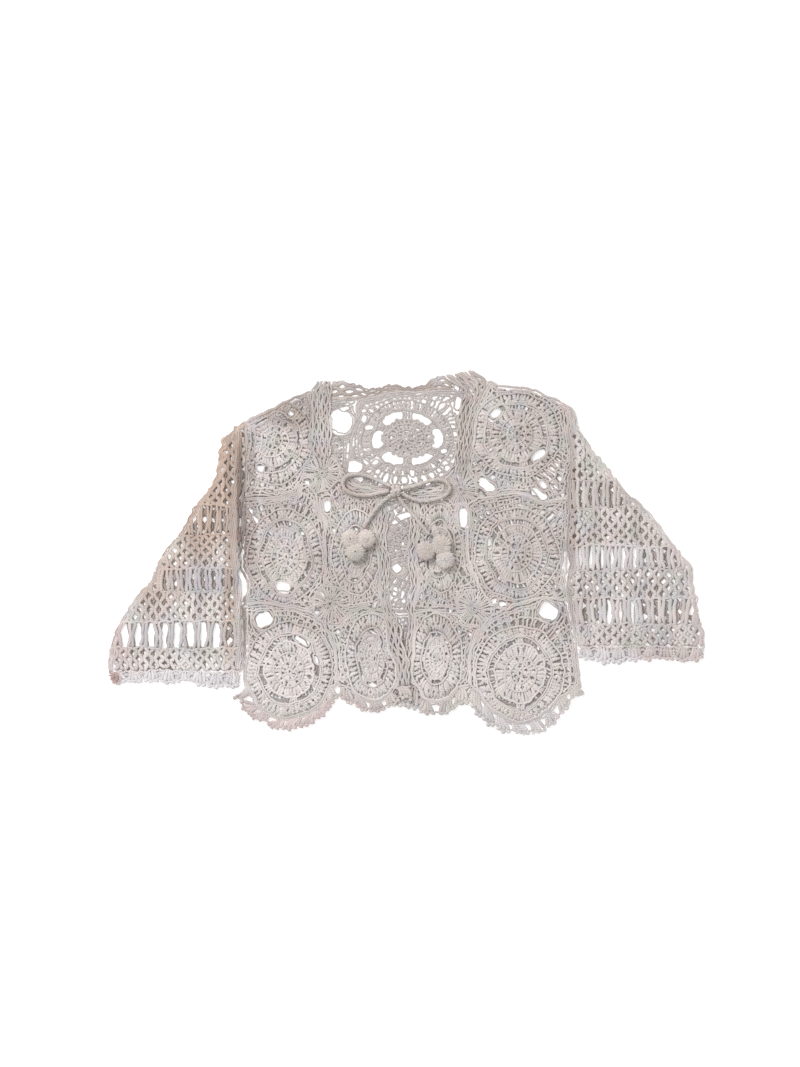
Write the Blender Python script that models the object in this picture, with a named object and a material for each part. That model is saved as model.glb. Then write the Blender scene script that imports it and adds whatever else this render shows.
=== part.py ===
"""A crochet motif cardigan laid flat: two fronts and a back of round medallions, two flared sleeves, a tied neck.

The plan is in millimetres, +X to the right, +Y towards the neck. Heights are above the surface that the garment
lies on. Left and right are as seen from above. The finished pieces are moved together so that the origin is
under the middle of the spread garment.
"""

import math

import bmesh
import bpy
from mathutils import Vector
from mathutils.geometry import delaunay_2d_cdt

MM = 0.001

WALL = 1.8  # thickness of the crocheted cloth
GAP = 0.3  # between layers, and between neighbours at a seam
FRONT_Z = WALL + GAP  # underside of the front layer, which lies on the back
FOLD = 5.0  # width of the curve where the front turns down to the surface
FOLD_LIFT = 0.2  # the folded edge stays just above the surface
BACK_INSET = 6.2  # the back ends this far inside a folded edge
RELIEF = 1.1  # how far the flowers and rings stand out of the wall
RIB = 0.8  # how far the ribs of the bands do
RIDGE = 2.6  # how far the sleeve's roll at the armhole lifts off the back
RIDGE_START, RIDGE_CREST, RIDGE_END = 3.0, 8.0, 19.0
HOLE_MARGIN = 2.0  # cloth left between a hole and the edge of its piece
CREASE_MARGIN = 1.2
CREASE_SHARES = (0.15, 0.3, 0.5, 0.7, 0.85, 1.0)  # where a raised line is tested between two of its points

GAPS_ROUND_FLOWER = 6
CRESCENT_HALF_ANGLE = 20.0
FLOWER_SHARE = 0.76  # the flower's radius, as a share of the ring's inner radius
STAR_RADIUS = 23.0
STAR_SIDES = 8
PICOT_PITCH = 9.4
PICOT_DEPTH = 2.6
HEM_CLEARANCE = 1.5  # between a bottom medallion's ring and the hem's edging

TIE_DIAMETER = 5.5
TIE_SIDES_SETTING = 2
TIE_STEP = 12.0
KNOT_AT = (-13, 81, 9.6)
KNOT_HALF = (8.6, 8.0, 5.0)
PUFF_HALF_HEIGHT = 6.0
PUFF_Z = WALL + FRONT_Z + RELIEF + GAP + PUFF_HALF_HEIGHT

# Round medallions. Columns: centre x, y, the dense ring's inner and outer half-sizes, turn of its gaps in degrees
MEDALLIONS = {
    "front_left_top": (-170, 144, 36, 38, 50, 55, 0),
    "front_left_mid": (-154, -2.5, 32, 45.5, 48, 59, 30),
    "front_left_bottom": (-149, -147, 37, 42, 55, 61, 10),
    "front_left_inner_mid": (-64, 2, 18, 34, 31, 55, 30),
    "front_left_inner_bottom": (-44, -131, 19, 36, 33, 56, 30),
    "front_right_inner_mid": (42, 8, 18, 36, 28, 55, 30),
    "front_right_inner_bottom": (38, -132, 18, 33, 33, 55, 30),
    "front_right_top": (139.5, 152, 39, 40, 57, 54, 15),
    "front_right_mid": (140, 1.5, 36, 44.5, 54, 59, 30),
    "front_right_bottom": (144, -151.5, 37.5, 45, 56, 60, 0),
    "back_left_top": (-137, 130, 40, 34, 58, 48, 0),
    "back_mid_top": (0.5, 147.5, 44, 34.5, 58, 48, 0),
    "back_right_top": (139.5, 150, 42, 42, 58, 56, 15),
    "back_left_mid": (-147, 2, 44, 48, 57, 60, 30),
    "back_mid_mid": (14, 10, 44, 42, 58, 57, 0),
    "back_right_mid": (136, 2, 42, 44, 56, 56, 30),
    "back_left_bottom": (-140, -134, 44, 44, 57, 57, 10),
    "back_mid_bottom": (3, -134, 38, 38, 50, 50, 0),
    "back_right_bottom": (143, -134, 44, 44, 57, 57, 0),
}
RAISED_BACKS = ("back_mid_top",)  # the only one with no front layer on it

# Star fillers, each where four blocks meet. Columns: centre x, y
STARS = {
    "front_star_left_top": (-107, 102),
    "front_star_left_mid": (-96, -64),
    "front_star_right_top": (68, 83),
    "front_star_right_mid": (86, -68),
    "back_star_left_top": (-67, 78),
    "back_star_right_top": (70, 86),
    "back_star_left_mid": (-67, -64),
    "back_star_right_mid": (73, -64),
}

# Outer lines of the garment, from the neck outwards and then downwards. Columns: x, y
PEAK_LEFT = ((-95, 219), (-98, 229), (-106, 227), (-113, 221))
SHOULDER_LEFT = ((-122, 210), (-148, 197.5), (-181, 182.5), (-207, 167))
SLEEVE_LEFT = (
    (-233, 149), (-238.5, 131), (-240.5, 110), (-245.5, 95), (-270, 57), (-301, 8), (-315, -8),
    (-326, -34), (-351, -63), (-363, -82), (-373, -110), (-379, -134), (-379, -148),
)
ARMHOLE_LEFT = ((-205, 133), (-206, 101), (-210, 70), (-211, 44), (-211, 12), (-211, -14))
SIDE_LEFT = ((-207.5, -25), (-204.5, -43), (-208.5, -61), (-207, -109), (-206, -140), (-206, -166))
INNER_SLEEVE_LEFT = ((-213, -25), (-213, -43), (-210.5, -61), (-208.6, -109), (-208.3, -148))
PEAK_RIGHT = ((48, 228), (59, 235), (74, 231.5), (86, 234.5))
SHOULDER_RIGHT = ((103, 222), (115, 216), (137, 214), (164, 209.5), (186, 199), (203, 190))
SLEEVE_RIGHT = (
    (212, 180), (220, 159), (234, 136), (251, 115), (267, 95), (284, 73), (309, 51), (334.5, 19),
    (349, 3), (364, -16), (365, -50), (371, -76), (378, -100), (379, -116),
)
ARMHOLE_RIGHT = ((206, 165), (209, 133), (209, 101), (206, 73), (206, 44), (205, 10))
SIDE_RIGHT = ((202, -10), (200.5, -38), (207.3, -58), (211, -82), (215.8, -112), (218.5, -142), (223, -166))
INNER_SLEEVE_RIGHT = ((206.5, -10), (204.5, -38), (209.6, -58), (213, -82), (217.8, -109), (218.6, -116))

# Ribbed strips along the front opening, both edges from the neck down. Columns: x, y
OPENING_LEFT_IN = ((-36, 77), (-36, 44), (-35, 6), (-32, -45), (-29, -70), (-22, -109), (-13, -140), (-10, -166))
OPENING_LEFT_OUT = ((-24, 77), (-23, 44), (-23, 6), (-22, -45), (-16, -70), (-5, -109), (5, -140), (6, -166))
OPENING_RIGHT_OUT = ((6, 75), (3, 44), (3, 6), (3, -45), (1, -73), (-1, -109), (-2, -140), (-2, -166))
OPENING_RIGHT_IN = ((14, 75), (13, 44), (13, 6), (12, -45), (10, -73), (8, -109), (7, -140), (7, -166))
CLIMB_FROM, CLIMB_TO = -84.0, -109.0  # the left strip's outer half climbs onto the right one between these
CLIMB = WALL + GAP + RIB + 0.1
HEM_CLIMB_FROM, HEM_CLIMB_TO = -13.0, -3.6  # the same for the hem's end, across the plan

# Seams between blocks: the points that neighbours share. Columns: x, y
SEAMS = {
    "left_band": ((-119, 165), (-119, 130)),
    "left_row_top": ((-164, 70), (-140, 76)),
    "left_column_top": ((-112, 60), (-104, 40), (-103, 6)),
    "left_row_low": ((-155, -64),),
    "left_column_low": ((-91, -121), (-88, -166)),
    "left_row_inner": ((-53, -68),),
    "right_band": ((92, 196), (84, 158), (81, 126)),
    "right_row_top": ((172, 68), (140, 78), (108, 75)),
    "right_column_top": ((80, 45), (76, 20), (77, -7)),
    "right_row_low": ((178, -55), (140, -63)),
    "right_column_low": ((81, -121), (80, -166)),
    "right_row_inner": ((43, -73),),
    "neck_left": ((-72, 81), (-44, 77)),
    "neck_right": ((30, 75),),
    "back_left_column_top": ((-62, 199), (-72, 125)),
    "back_left_column_mid": ((-73, 30), (-73, -10)),
    "back_left_column_low": ((-67, -110), (-67, -166)),
    "back_right_column_top": ((77, 206), (77, 125)),
    "back_right_column_mid": ((59, 45), (63, 28), (70, 0)),
    "back_right_column_low": ((73, -110), (73, -166)),
    "back_row_top_left": ((-209, 78), (-140, 76)),
    "back_row_top_right": ((130, 66), (206, 66)),
    "back_row_low_left": ((-150, -64),),
    "back_row_low_right": ((130, -72), (160, -57)),
    "back_neck": ((-95, 194), (-62, 199), (-40, 203), (3, 208), (43, 208), (60, 208), (77, 206)),
}
BAND_LEFT_FOOT = (-96, 129)
BAND_RIGHT_FOOT = (61, 114)
BAND_LEFT_INNER = ((-95, 145), (-96, 171))
BAND_RIGHT_INNER = ((62, 133), (65, 171), (67.5, 184), (74, 203), (66, 212))
NECK_LEFT_TOP = ((-88, 124), (-77, 104), (-66, 94), (-44, 88.5), (-18, 87.5))
NECK_RIGHT_TOP = ((6, 85), (25, 87), (40, 93), (50, 106))
NECK_BACK_TOP = (
    (-95, 217), (-81, 218.5), (-60, 215), (-54, 210), (-34, 211), (-22, 215), (-12, 215.5), (7, 212.5),
    (21, 216), (32, 223), (46, 226.5),
)
BACK_PEAK_LEFT = ((-97, 216), (-102, 219), (-109, 213))
BACK_PEAK_RIGHT = ((60, 216), (64, 226), (74, 223.5), (85, 226), (99, 215))

# Long-loop rounds of the sleeves. Columns: top y, bottom y, first slot's x, pitch, number of slots, slot width
SLOT_ROWS = {
    "left": (
        (60, 28, -269, 12.2, 4, 6.0),
        (-20, -45, -307, 12.3, 8, 4.6),
        (-87, -117, -358, 16.6, 9, 9.4),
    ),
    "right": (
        (90, 61, 222, 12.8, 4, 4.4),
        (8, -17, 221, 13.6, 10, 5.4),
        (-58, -87, 227, 15.0, 9, 6.4),
    ),
}

# Heights on the plan of the seams between the sleeves' rounds
ROUNDS = {
    "left": (66, 20, -14, -51, -81, -123),
    "right": (97, 55, 14, -23, -52, -93),
}

# Large gaps of the net, seen through both layers or through the bare back. Columns: x, y, half-length,
# half-width, turn in degrees, block of the front or none, block of the back
NET_GAPS = (
    (-84, 168.5, 17, 13.5, -66, None, "back_left_top"),
    (-66, 112, 7.5, 5, 0, None, "back_mid_top"),
    (65.5, 191.5, 9.5, 2.4, 65, None, "back_mid_top"),
    (101, 89.5, 9, 5.5, -40, "front_right_top", "back_right_top"),
    (168.5, 79, 9, 4, -33, "front_right_top", "back_right_top"),
    (111, -60, 4.4, 2.6, 30, "front_right_mid", "back_right_mid"),
    (122, -63, 4.4, 2.8, -15, "front_right_mid", "back_right_mid"),
    (-181.5, -82, 12, 8.5, 15, "front_left_bottom", "back_left_bottom"),
    (180, -71, 11, 10, 0, "front_right_bottom", "back_right_bottom"),
    (70.5, 46.5, 11.5, 5, 90, "front_right_inner_mid", "back_right_mid"),
    (-101, 64, 7, 4, 90, "front_left_inner_mid", "back_left_mid"),
)

# The hem's scallops, one for each medallion of the bottom row. Columns: medallion, radius at the first and at
# the last angle, what the middle adds to it, first and last angle
HEM_SCALLOPS = {
    "hem_left": (("front_left_bottom", 78, 70, 1, 209, 331), ("front_left_inner_bottom", 65, 67, 5, 238, 312)),
    "hem_right": (("front_right_inner_bottom", 71, 67, 4, 234, 303), ("front_right_bottom", 78, 76, 2, 225, 338)),
    "hem_back": (
        ("back_left_bottom", 71, 71, 0, 222, 314),
        ("back_mid_bottom", 60, 60, 0, 228, 312),
        ("back_right_bottom", 71, 71, 0, 228, 320),
    ),
}
HEM_ENDS = {"hem_left": (7, -190), "hem_right": (228, -179)}
HEM_STARTS = {"hem_left": ((-207, -176.5), (-224, -181)), "hem_right": ((-2, -188),)}

# Lower edges of the cuffs, before the picots. Columns: x, y
CUFF_EDGES = {
    "left": (
        (-377, -166), (-352, -163), (-327, -162), (-296, -166), (-283, -161), (-255, -171), (-212, -171),
    ),
    "right": ((220, -135), (242, -141), (277, -140), (297, -135), (346, -136), (369, -138), (377, -130)),
}
CUFF_TOPS = {"left": -148, "right": -116}
SLEEVE_BACK_TOPS = {"left": (-205.7, 157), "right": (206.9, 155)}
CUFF_BACK_LIFT = 5.0

# Routes of the tie's four lengths of cord, from the knot. Columns: x, y, z of the cord's middle
TIE_ROUTES = {
    "tie_loop_left": (
        (-22.0, 80.9, 9.6), (-33, 78.8, 8.6), (-48, 75.5, 8.0), (-64, 76, 8.0), (-76, 81, 8.0), (-81, 90, 8.0),
        (-76, 99, 8.0), (-63, 102, 8.0), (-48, 99, 8.0), (-34, 93, 8.6), (-20.0, 86.9, 9.6),
    ),
    "tie_loop_right": (
        (-4.4, 83.7, 9.6), (8, 86.5, 8.6), (22, 91, 8.0), (38, 95, 8.0), (50, 92, 8.0), (55, 84, 8.0),
        (49, 75, 8.0), (36, 70, 8.0), (20, 68, 8.0), (7, 71, 8.4), (-5.0, 77.0, 9.6),
    ),
    "tie_tail_left": (
        (-19.0, 74.9, 9.4), (-28, 69, 8.6), (-38, 59, 8.0), (-46, 48, 8.0), (-51, 40, 8.6), (-55, 34.5, 9.6),
    ),
    "tie_tail_right": (
        (-10.0, 73.0, 9.4), (-4, 64, 8.6), (6, 53, 8.0), (16, 41, 8.0), (24, 31, 8.6), (29, 25, 9.6),
    ),
}

# Puff flowers at the tie's ends. Columns: lobe's x, y, radius
PUFF_LOBES = {
    "puff_left": ((-71, 20, 12.5), (-51, 20, 12.0), (-65, 4, 12.5)),
    "puff_right": ((44, 12, 13.0), (49, -6, 12.0), (24, 5, 12.5)),
}

# Colour of each piece, by the first word of its name: undyed cotton, with warmer sleeves and pinker edgings
YARN_COLOURS = {
    "front": (0.58, 0.53, 0.50, 1.0),
    "back": (0.52, 0.48, 0.46, 1.0),
    "sleeve": (0.54, 0.48, 0.45, 1.0),
    "hem": (0.62, 0.56, 0.54, 1.0),
    "cuff": (0.63, 0.58, 0.56, 1.0),
    "band": (0.54, 0.49, 0.46, 1.0),
    "neck": (0.53, 0.48, 0.46, 1.0),
    "opening": (0.56, 0.51, 0.48, 1.0),
    "tie": (0.57, 0.52, 0.48, 1.0),
    "puff": (0.59, 0.54, 0.50, 1.0),
}
YARN_ROUGHNESS = 0.9


def clear_scene():
    for old in list(bpy.data.objects):
        bpy.data.objects.remove(old, do_unlink=True)


def yarn_material(name):
    """Matt cotton in the colour of one piece."""
    material = bpy.data.materials.new(name)
    material.use_nodes = True
    shader = material.node_tree.nodes["Principled BSDF"]
    shader.inputs["Base Color"].default_value = YARN_COLOURS[name.split("_")[0]]
    shader.inputs["Roughness"].default_value = YARN_ROUGHNESS
    shader.inputs["Metallic"].default_value = 0.0
    return material


def signed_area(points):
    pairs = zip(points, points[1:] + points[:1])
    return 0.5 * sum(a[0] * b[1] - b[0] * a[1] for a, b in pairs)


def anticlockwise(points):
    points = [tuple(map(float, p)) for p in points]
    return points if signed_area(points) > 0 else points[::-1]


def unit(dx, dy):
    length = math.hypot(dx, dy)
    return dx / length, dy / length


def shifted(points, distance, closed):
    """The line moved to its left by a distance, with mitred corners."""
    moved = []
    last = len(points) - 1
    for i, (x, y) in enumerate(points):
        before = points[i - 1] if closed or i > 0 else None
        after = points[(i + 1) % len(points)] if closed or i < last else None
        ways = []
        if before is not None:
            ways.append(unit(x - before[0], y - before[1]))
        if after is not None:
            ways.append(unit(after[0] - x, after[1] - y))
        ax, ay = ways[0]
        bx, by = ways[-1]
        stretch = max(0.4, 1.0 + ax * bx + ay * by)
        moved.append((x - distance * (ay + by) / stretch, y + distance * (ax + bx) / stretch))
    return moved


def is_inside(point, loop):
    x, y = point
    found = False
    for (x1, y1), (x2, y2) in zip(loop, loop[1:] + loop[:1]):
        if (y1 > y) != (y2 > y) and x < x1 + (y - y1) * (x2 - x1) / (y2 - y1):
            found = not found
    return found


def distance_to_line(point, line):
    """Shortest distance from a point to an open line of points."""
    px, py = point
    best = math.inf
    for (ax, ay), (bx, by) in zip(line, line[1:]):
        dx, dy = bx - ax, by - ay
        along = ((px - ax) * dx + (py - ay) * dy) / (dx * dx + dy * dy)
        along = min(1.0, max(0.0, along))
        best = min(best, math.hypot(px - ax - along * dx, py - ay - along * dy))
    return best


def is_clear(point, loop, margin):
    return is_inside(point, loop) and distance_to_line(point, list(loop) + [loop[0]]) > margin


def smooth_step(low, high, value):
    share = min(1.0, max(0.0, (value - low) / (high - low)))
    return share * share * (3.0 - 2.0 * share)


def ellipse_point(medallion, across, along, degrees):
    angle = math.radians(degrees)
    return medallion[0] + across * math.cos(angle), medallion[1] + along * math.sin(angle)


# Folded edges of the front layer: shoulders with the tops of the sleeves, then the sides and the undersides
# of the sleeves. The garment is to the left of each line, so a shift to the left goes inwards.
FOLD_LINES = (
    PEAK_LEFT[1:] + SHOULDER_LEFT + SLEEVE_LEFT + ((-376, -172),),
    ARMHOLE_LEFT[-1:] + SIDE_LEFT + ((-213, -181),),
    tuple(reversed(ARMHOLE_LEFT[-1:] + INNER_SLEEVE_LEFT + ((-208, -175),))),
    tuple(reversed(PEAK_RIGHT[1:] + SHOULDER_RIGHT + SLEEVE_RIGHT + ((376, -142),))),
    tuple(reversed(ARMHOLE_RIGHT[-1:] + SIDE_RIGHT + ((226, -178),))),
    ARMHOLE_RIGHT[-1:] + INNER_SLEEVE_RIGHT + ((219, -134),),
)
FOLD_ROWS = [shifted(line, FOLD + 0.3, False) for line in FOLD_LINES]
ARMHOLE_LINES = {
    "left": SHOULDER_LEFT[-1:] + ARMHOLE_LEFT + INNER_SLEEVE_LEFT,
    "right": SHOULDER_RIGHT[-1:] + ARMHOLE_RIGHT + INNER_SLEEVE_RIGHT,
}


def back_floor(x, y):
    return 0.0


def front_floor(x, y):
    """Underside of the front layer: on the back, and turned down in a quarter round at a folded edge."""
    nearest = min(distance_to_line((x, y), line) for line in FOLD_LINES)
    short = max(0.0, 1.0 - nearest / FOLD)
    return FOLD_LIFT + (FRONT_Z - FOLD_LIFT) * math.sqrt(1.0 - short * short)


def left_strip_floor(x, y):
    """The left strip starts at its block's level, and its outer half lies on the right strip."""
    from_seam = distance_to_line((x, y), OPENING_LEFT_IN)
    from_edge = distance_to_line((x, y), OPENING_LEFT_OUT)
    share = min(1.0, 2.0 * from_seam / (from_seam + from_edge))
    return front_floor(x, y) + share * CLIMB * smooth_step(-CLIMB_FROM, -CLIMB_TO, -y)


def left_hem_floor(x, y):
    """The left hem lies on the back, and its end climbs with the strip above it."""
    return front_floor(x, y) + CLIMB * smooth_step(HEM_CLIMB_FROM, HEM_CLIMB_TO, x)


def sleeve_floor(side):
    """The front layer of a sleeve, with the roll that stands beside the armhole."""
    line = ARMHOLE_LINES[side]

    def floor(x, y):
        from_edge = distance_to_line((x, y), line)
        share = (from_edge + RIDGE_START) / (RIDGE_END + RIDGE_START)
        roll = RIDGE * math.sin(math.pi * share) if share < 1.0 else 0.0
        return front_floor(x, y) + roll * smooth_step(CUFF_TOPS[side] - 20, CUFF_TOPS[side] + 60, y)

    return floor


def triangulate(outline, holes, lines):
    """Triangles of an outline with holes, through every given line. Returns points, triangles and input indices."""
    points = []
    edges = []
    for loop in [outline] + holes:
        start = len(points)
        points += loop
        edges += [(start + i, start + (i + 1) % len(loop)) for i in range(len(loop))]
    for line in lines:
        start = len(points)
        points += [p[:2] for p in line]
        edges += [(start + i, start + i + 1) for i in range(len(line) - 1)]
    made = delaunay_2d_cdt([Vector(p) for p in points], edges, [], 0, 1e-5)
    corners = [tuple(v) for v in made[0]]
    kept = []
    for face in made[2]:
        middle = tuple(sum(corners[i][k] for i in face) / len(face) for k in (0, 1))
        if is_inside(middle, outline) and not any(is_inside(middle, hole) for hole in holes):
            kept.append(tuple(face))
    return corners, kept, made[3]


def key(point):
    return round(point[0], 3), round(point[1], 3)


def is_on_cloth(point, outline, holes):
    if not is_clear(point, outline, CREASE_MARGIN):
        return False
    return not any(
        is_inside(point, hole) or distance_to_line(point, hole + hole[:1]) < CREASE_MARGIN for hole in holes
    )


def crease_runs(creases, outline, holes):
    """The stretches of each raised line that lie on the cloth."""
    runs = []
    for crease in creases:
        run = []
        for point in crease:
            if run:
                steps = [[a + share * (b - a) for a, b in zip(run[-1][:2], point[:2])] for share in CREASE_SHARES]
                if not all(is_on_cloth(step, outline, holes) for step in steps):
                    runs.append(run)
                    run = []
            if is_on_cloth(point[:2], outline, holes):
                run.append(point)
        runs.append(run)
    return [run for run in runs if run]


def panel(name, outline, holes=(), creases=(), floor=back_floor, rows=(), inset=GAP / 2):
    """One crocheted piece: a wall with this outline and these holes, raised along its creases.

    A crease is a line of points x, y and rise. Rows are lines that the wall bends along.
    """
    outline = shifted(anticlockwise(outline), inset, True)
    holes = [list(hole) for hole in holes if all(is_clear(p, outline, HOLE_MARGIN) for p in hole)]
    runs = crease_runs(creases, outline, holes)
    top_points, top_faces, sources = triangulate(outline, holes, list(rows) + runs)
    low_points, low_faces, _ = triangulate(outline, holes, rows)

    rises = {}
    for run in runs:
        for x, y, rise in run:
            rises[key((x, y))] = rise
    vertices = [(x, y, floor(x, y) + WALL + rises.get(key((x, y)), 0.0)) for x, y in top_points]
    vertices += [(x, y, floor(x, y)) for x, y in low_points]
    low_start = len(top_points)
    low_index = {key(p): low_start + i for i, p in enumerate(low_points)}

    faces = list(top_faces)
    faces += [tuple(low_start + i for i in reversed(face)) for face in low_faces]
    used = {}
    for face in top_faces:
        for a, b in zip(face, face[1:] + face[:1]):
            used[(a, b)] = used.get((a, b), 0) + 1
    for a, b in used:
        if (b, a) not in used:
            faces.append((b, a, low_index[key(top_points[a])], low_index[key(top_points[b])]))
    return add_object(name, vertices, faces)


def add_object(name, vertices, faces):
    mesh = bpy.data.meshes.new(name)
    mesh.from_pydata([[c * MM for c in v] for v in vertices], [], faces)
    mesh.materials.append(yarn_material(name))
    spare = set(range(len(vertices))) - {i for face in faces for i in face}
    if spare:
        remove_vertices(mesh, spare)
    obj = bpy.data.objects.new(name, mesh)
    bpy.context.collection.objects.link(obj)
    return obj


def remove_vertices(mesh, spare):
    """Takes out the points that no face uses, which lie on lines beyond the piece."""
    work = bmesh.new()
    work.from_mesh(mesh)
    work.verts.ensure_lookup_table()
    bmesh.ops.delete(work, geom=[work.verts[i] for i in spare], context="VERTS")
    work.to_mesh(mesh)
    work.free()


def star_corners(star, first, last):
    """Corners of a star filler from one number to another, going round either way."""
    x, y = STARS[star]
    step = 1 if last >= first else -1
    angles = [math.radians((k + 0.5) * 360 / STAR_SIDES) for k in range(first, last + step, step)]
    return [(x + STAR_RADIUS * math.cos(a), y + STAR_RADIUS * math.sin(a)) for a in angles]


def hem_line(block, first, last, count=7):
    """The lower edge of a bottom block, just outside its ring."""
    medallion = MEDALLIONS[block]
    across, along = medallion[4] + HEM_CLEARANCE, medallion[5] + HEM_CLEARANCE
    step = (last - first) / (count - 1)
    return [ellipse_point(medallion, across, along, first + i * step) for i in range(count)]


def crescents(medallion):
    """The six gaps between the flower and the dense ring."""
    _, _, across, along, _, _, turn = medallion
    gaps = []
    for k in range(GAPS_ROUND_FLOWER):
        middle = turn + k * 360 / GAPS_ROUND_FLOWER
        outer = [middle + s * CRESCENT_HALF_ANGLE for s in (-1.0, -0.35, 0.35, 1.0)]
        inner = [middle + s * CRESCENT_HALF_ANGLE for s in (0.55, -0.55)]
        gap = [ellipse_point(medallion, across, along, a) for a in outer]
        gap += [ellipse_point(medallion, across * FLOWER_SHARE, along * FLOWER_SHARE, a) for a in inner]
        gaps.append(gap)
    return gaps


def ring_crease(medallion, across, along, count, rises):
    """A closed line round a medallion, whose points take the given rises in turn."""
    turn = medallion[6]
    line = []
    for k in range(count + 1):
        x, y = ellipse_point(medallion, across, along, turn + (k % count) * 360 / count)
        line.append((x, y, rises[k % len(rises)] if k < count else rises[0]))
    return line


def medallion_creases(medallion):
    """Raised petals, and the dense ring's two rope edges with a groove between them."""
    x, y, in_across, in_along, out_across, out_along, _ = medallion
    flower = (in_across * FLOWER_SHARE, in_along * FLOWER_SHARE)
    lines = [[(x, y, 0.2)]]
    lines.append(ring_crease(medallion, 0.3 * flower[0], 0.3 * flower[1], 6, (RELIEF,)))
    lines.append(ring_crease(medallion, 0.6 * flower[0], 0.6 * flower[1], 12, (0.3, RELIEF)))
    lines.append(ring_crease(medallion, 0.84 * flower[0], 0.84 * flower[1], 12, (RELIEF, 0.2)))
    for share, rise in ((0.1, 0.85), (0.5, 0.1), (0.9, 0.85), (1.18, 0.0)):
        across = in_across + share * (out_across - in_across)
        along = in_along + share * (out_along - in_along)
        lines.append(ring_crease(medallion, across, along, 16, (rise,)))
    return lines


def net_gap(x, y, half_length, half_width, turn):
    cos, sin = math.cos(math.radians(turn)), math.sin(math.radians(turn))
    shape = ((1, 0), (0.35, 1), (-0.35, 1), (-1, 0), (-0.35, -1), (0.35, -1))
    corners = [(a * half_length, b * half_width) for a, b in shape]
    return [(x + a * cos - b * sin, y + a * sin + b * cos) for a, b in corners]


def block(name, outline):
    """A motif block: its round medallion in net, with the medallion's gaps and the net's large ones."""
    medallion = MEDALLIONS[name]
    is_front = name.startswith("front")
    holes = crescents(medallion)
    for x, y, half_length, half_width, turn, front_block, back_block in NET_GAPS:
        if name in (front_block, back_block):
            holes.append(net_gap(x, y, half_length, half_width, turn))
    creases = medallion_creases(medallion) if is_front or name in RAISED_BACKS else ()
    rows = FOLD_ROWS if is_front else ()
    floor = front_floor if is_front else back_floor
    return panel(name, outline, holes, creases, floor, rows)


def star(name):
    """A filler: long stitches that run out from a small eye, with a slit between each two."""
    x, y = STARS[name]
    is_front = name.startswith("front")
    slits = STAR_SIDES if is_front else STAR_SIDES - 2
    holes = []
    for k in range(slits):
        middle = 360 * k / slits
        corners = ((0.36, 0.0), (0.8, -9.0), (0.8, 9.0))
        angles = [(share, math.radians(middle + turn)) for share, turn in corners]
        holes.append(
            [(x + s * STAR_RADIUS * math.cos(a), y + s * STAR_RADIUS * math.sin(a)) for s, a in angles]
        )
    rim = [(0.22 * STAR_RADIUS * math.cos(a), 0.22 * STAR_RADIUS * math.sin(a))
           for a in [math.radians(360 * (k + 0.5) / slits) for k in range(slits)]]
    creases = [[(x, y, 0.0)], [(x + a, y + b, RELIEF) for a, b in rim]] if is_front else ()
    floor = front_floor if is_front else back_floor
    return panel(name, star_corners(name, 0, STAR_SIDES - 1), holes, creases, floor)


def front_blocks():
    """The ten blocks of the fronts, each from the seams round it."""
    seams = SEAMS
    left_top, left_mid = "front_star_left_top", "front_star_left_mid"
    right_top, right_mid = "front_star_right_top", "front_star_right_mid"
    outlines = {
        "front_left_top": [
            *SHOULDER_LEFT, *ARMHOLE_LEFT[:3], *seams["left_row_top"], *star_corners(left_top, 4, 2),
            *reversed(seams["left_band"]),
        ],
        "front_left_mid": [
            *ARMHOLE_LEFT[2:], *SIDE_LEFT[:3], *seams["left_row_low"], *star_corners(left_mid, 4, 2),
            *reversed(seams["left_column_top"]), *star_corners(left_top, 5, 4), *reversed(seams["left_row_top"]),
        ],
        "front_left_bottom": [
            *SIDE_LEFT[2:], *hem_line("front_left_bottom", 203, 337), *reversed(seams["left_column_low"]),
            *star_corners(left_mid, 5, 4), *reversed(seams["left_row_low"]),
        ],
        "front_left_inner_mid": [
            *seams["left_column_top"], *star_corners(left_mid, 2, -1), *seams["left_row_inner"],
            *reversed(OPENING_LEFT_IN[:5]), *reversed(seams["neck_left"]), *star_corners(left_top, 7, 5),
        ],
        "front_left_inner_bottom": [
            *seams["left_row_inner"], *star_corners(left_mid, -1, -3), *seams["left_column_low"],
            *hem_line("front_left_inner_bottom", 222, 318), *reversed(OPENING_LEFT_IN[4:]),
        ],
        "front_right_top": [
            *SHOULDER_RIGHT, *ARMHOLE_RIGHT[:4], *seams["right_row_top"], *star_corners(right_top, -1, 1),
            *reversed(seams["right_band"]),
        ],
        "front_right_mid": [
            *ARMHOLE_RIGHT[3:], *SIDE_RIGHT[:3], *seams["right_row_low"], *star_corners(right_mid, -1, 1),
            *reversed(seams["right_column_top"]), *star_corners(right_top, 6, 7), *reversed(seams["right_row_top"]),
        ],
        "front_right_bottom": [
            *SIDE_RIGHT[2:], *reversed(hem_line("front_right_bottom", 203, 330)),
            *reversed(seams["right_column_low"]), *star_corners(right_mid, 6, 7), *reversed(seams["right_row_low"]),
        ],
        "front_right_inner_mid": [
            *seams["right_column_top"], *star_corners(right_mid, 1, 4), *seams["right_row_inner"],
            *reversed(OPENING_RIGHT_IN[:5]), *seams["neck_right"], *star_corners(right_top, 4, 6),
        ],
        "front_right_inner_bottom": [
            *seams["right_row_inner"], *star_corners(right_mid, 4, 6), *seams["right_column_low"],
            *reversed(hem_line("front_right_inner_bottom", 222, 318)), *reversed(OPENING_RIGHT_IN[4:]),
        ],
    }
    for name, outline in outlines.items():
        block(name, outline)


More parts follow.
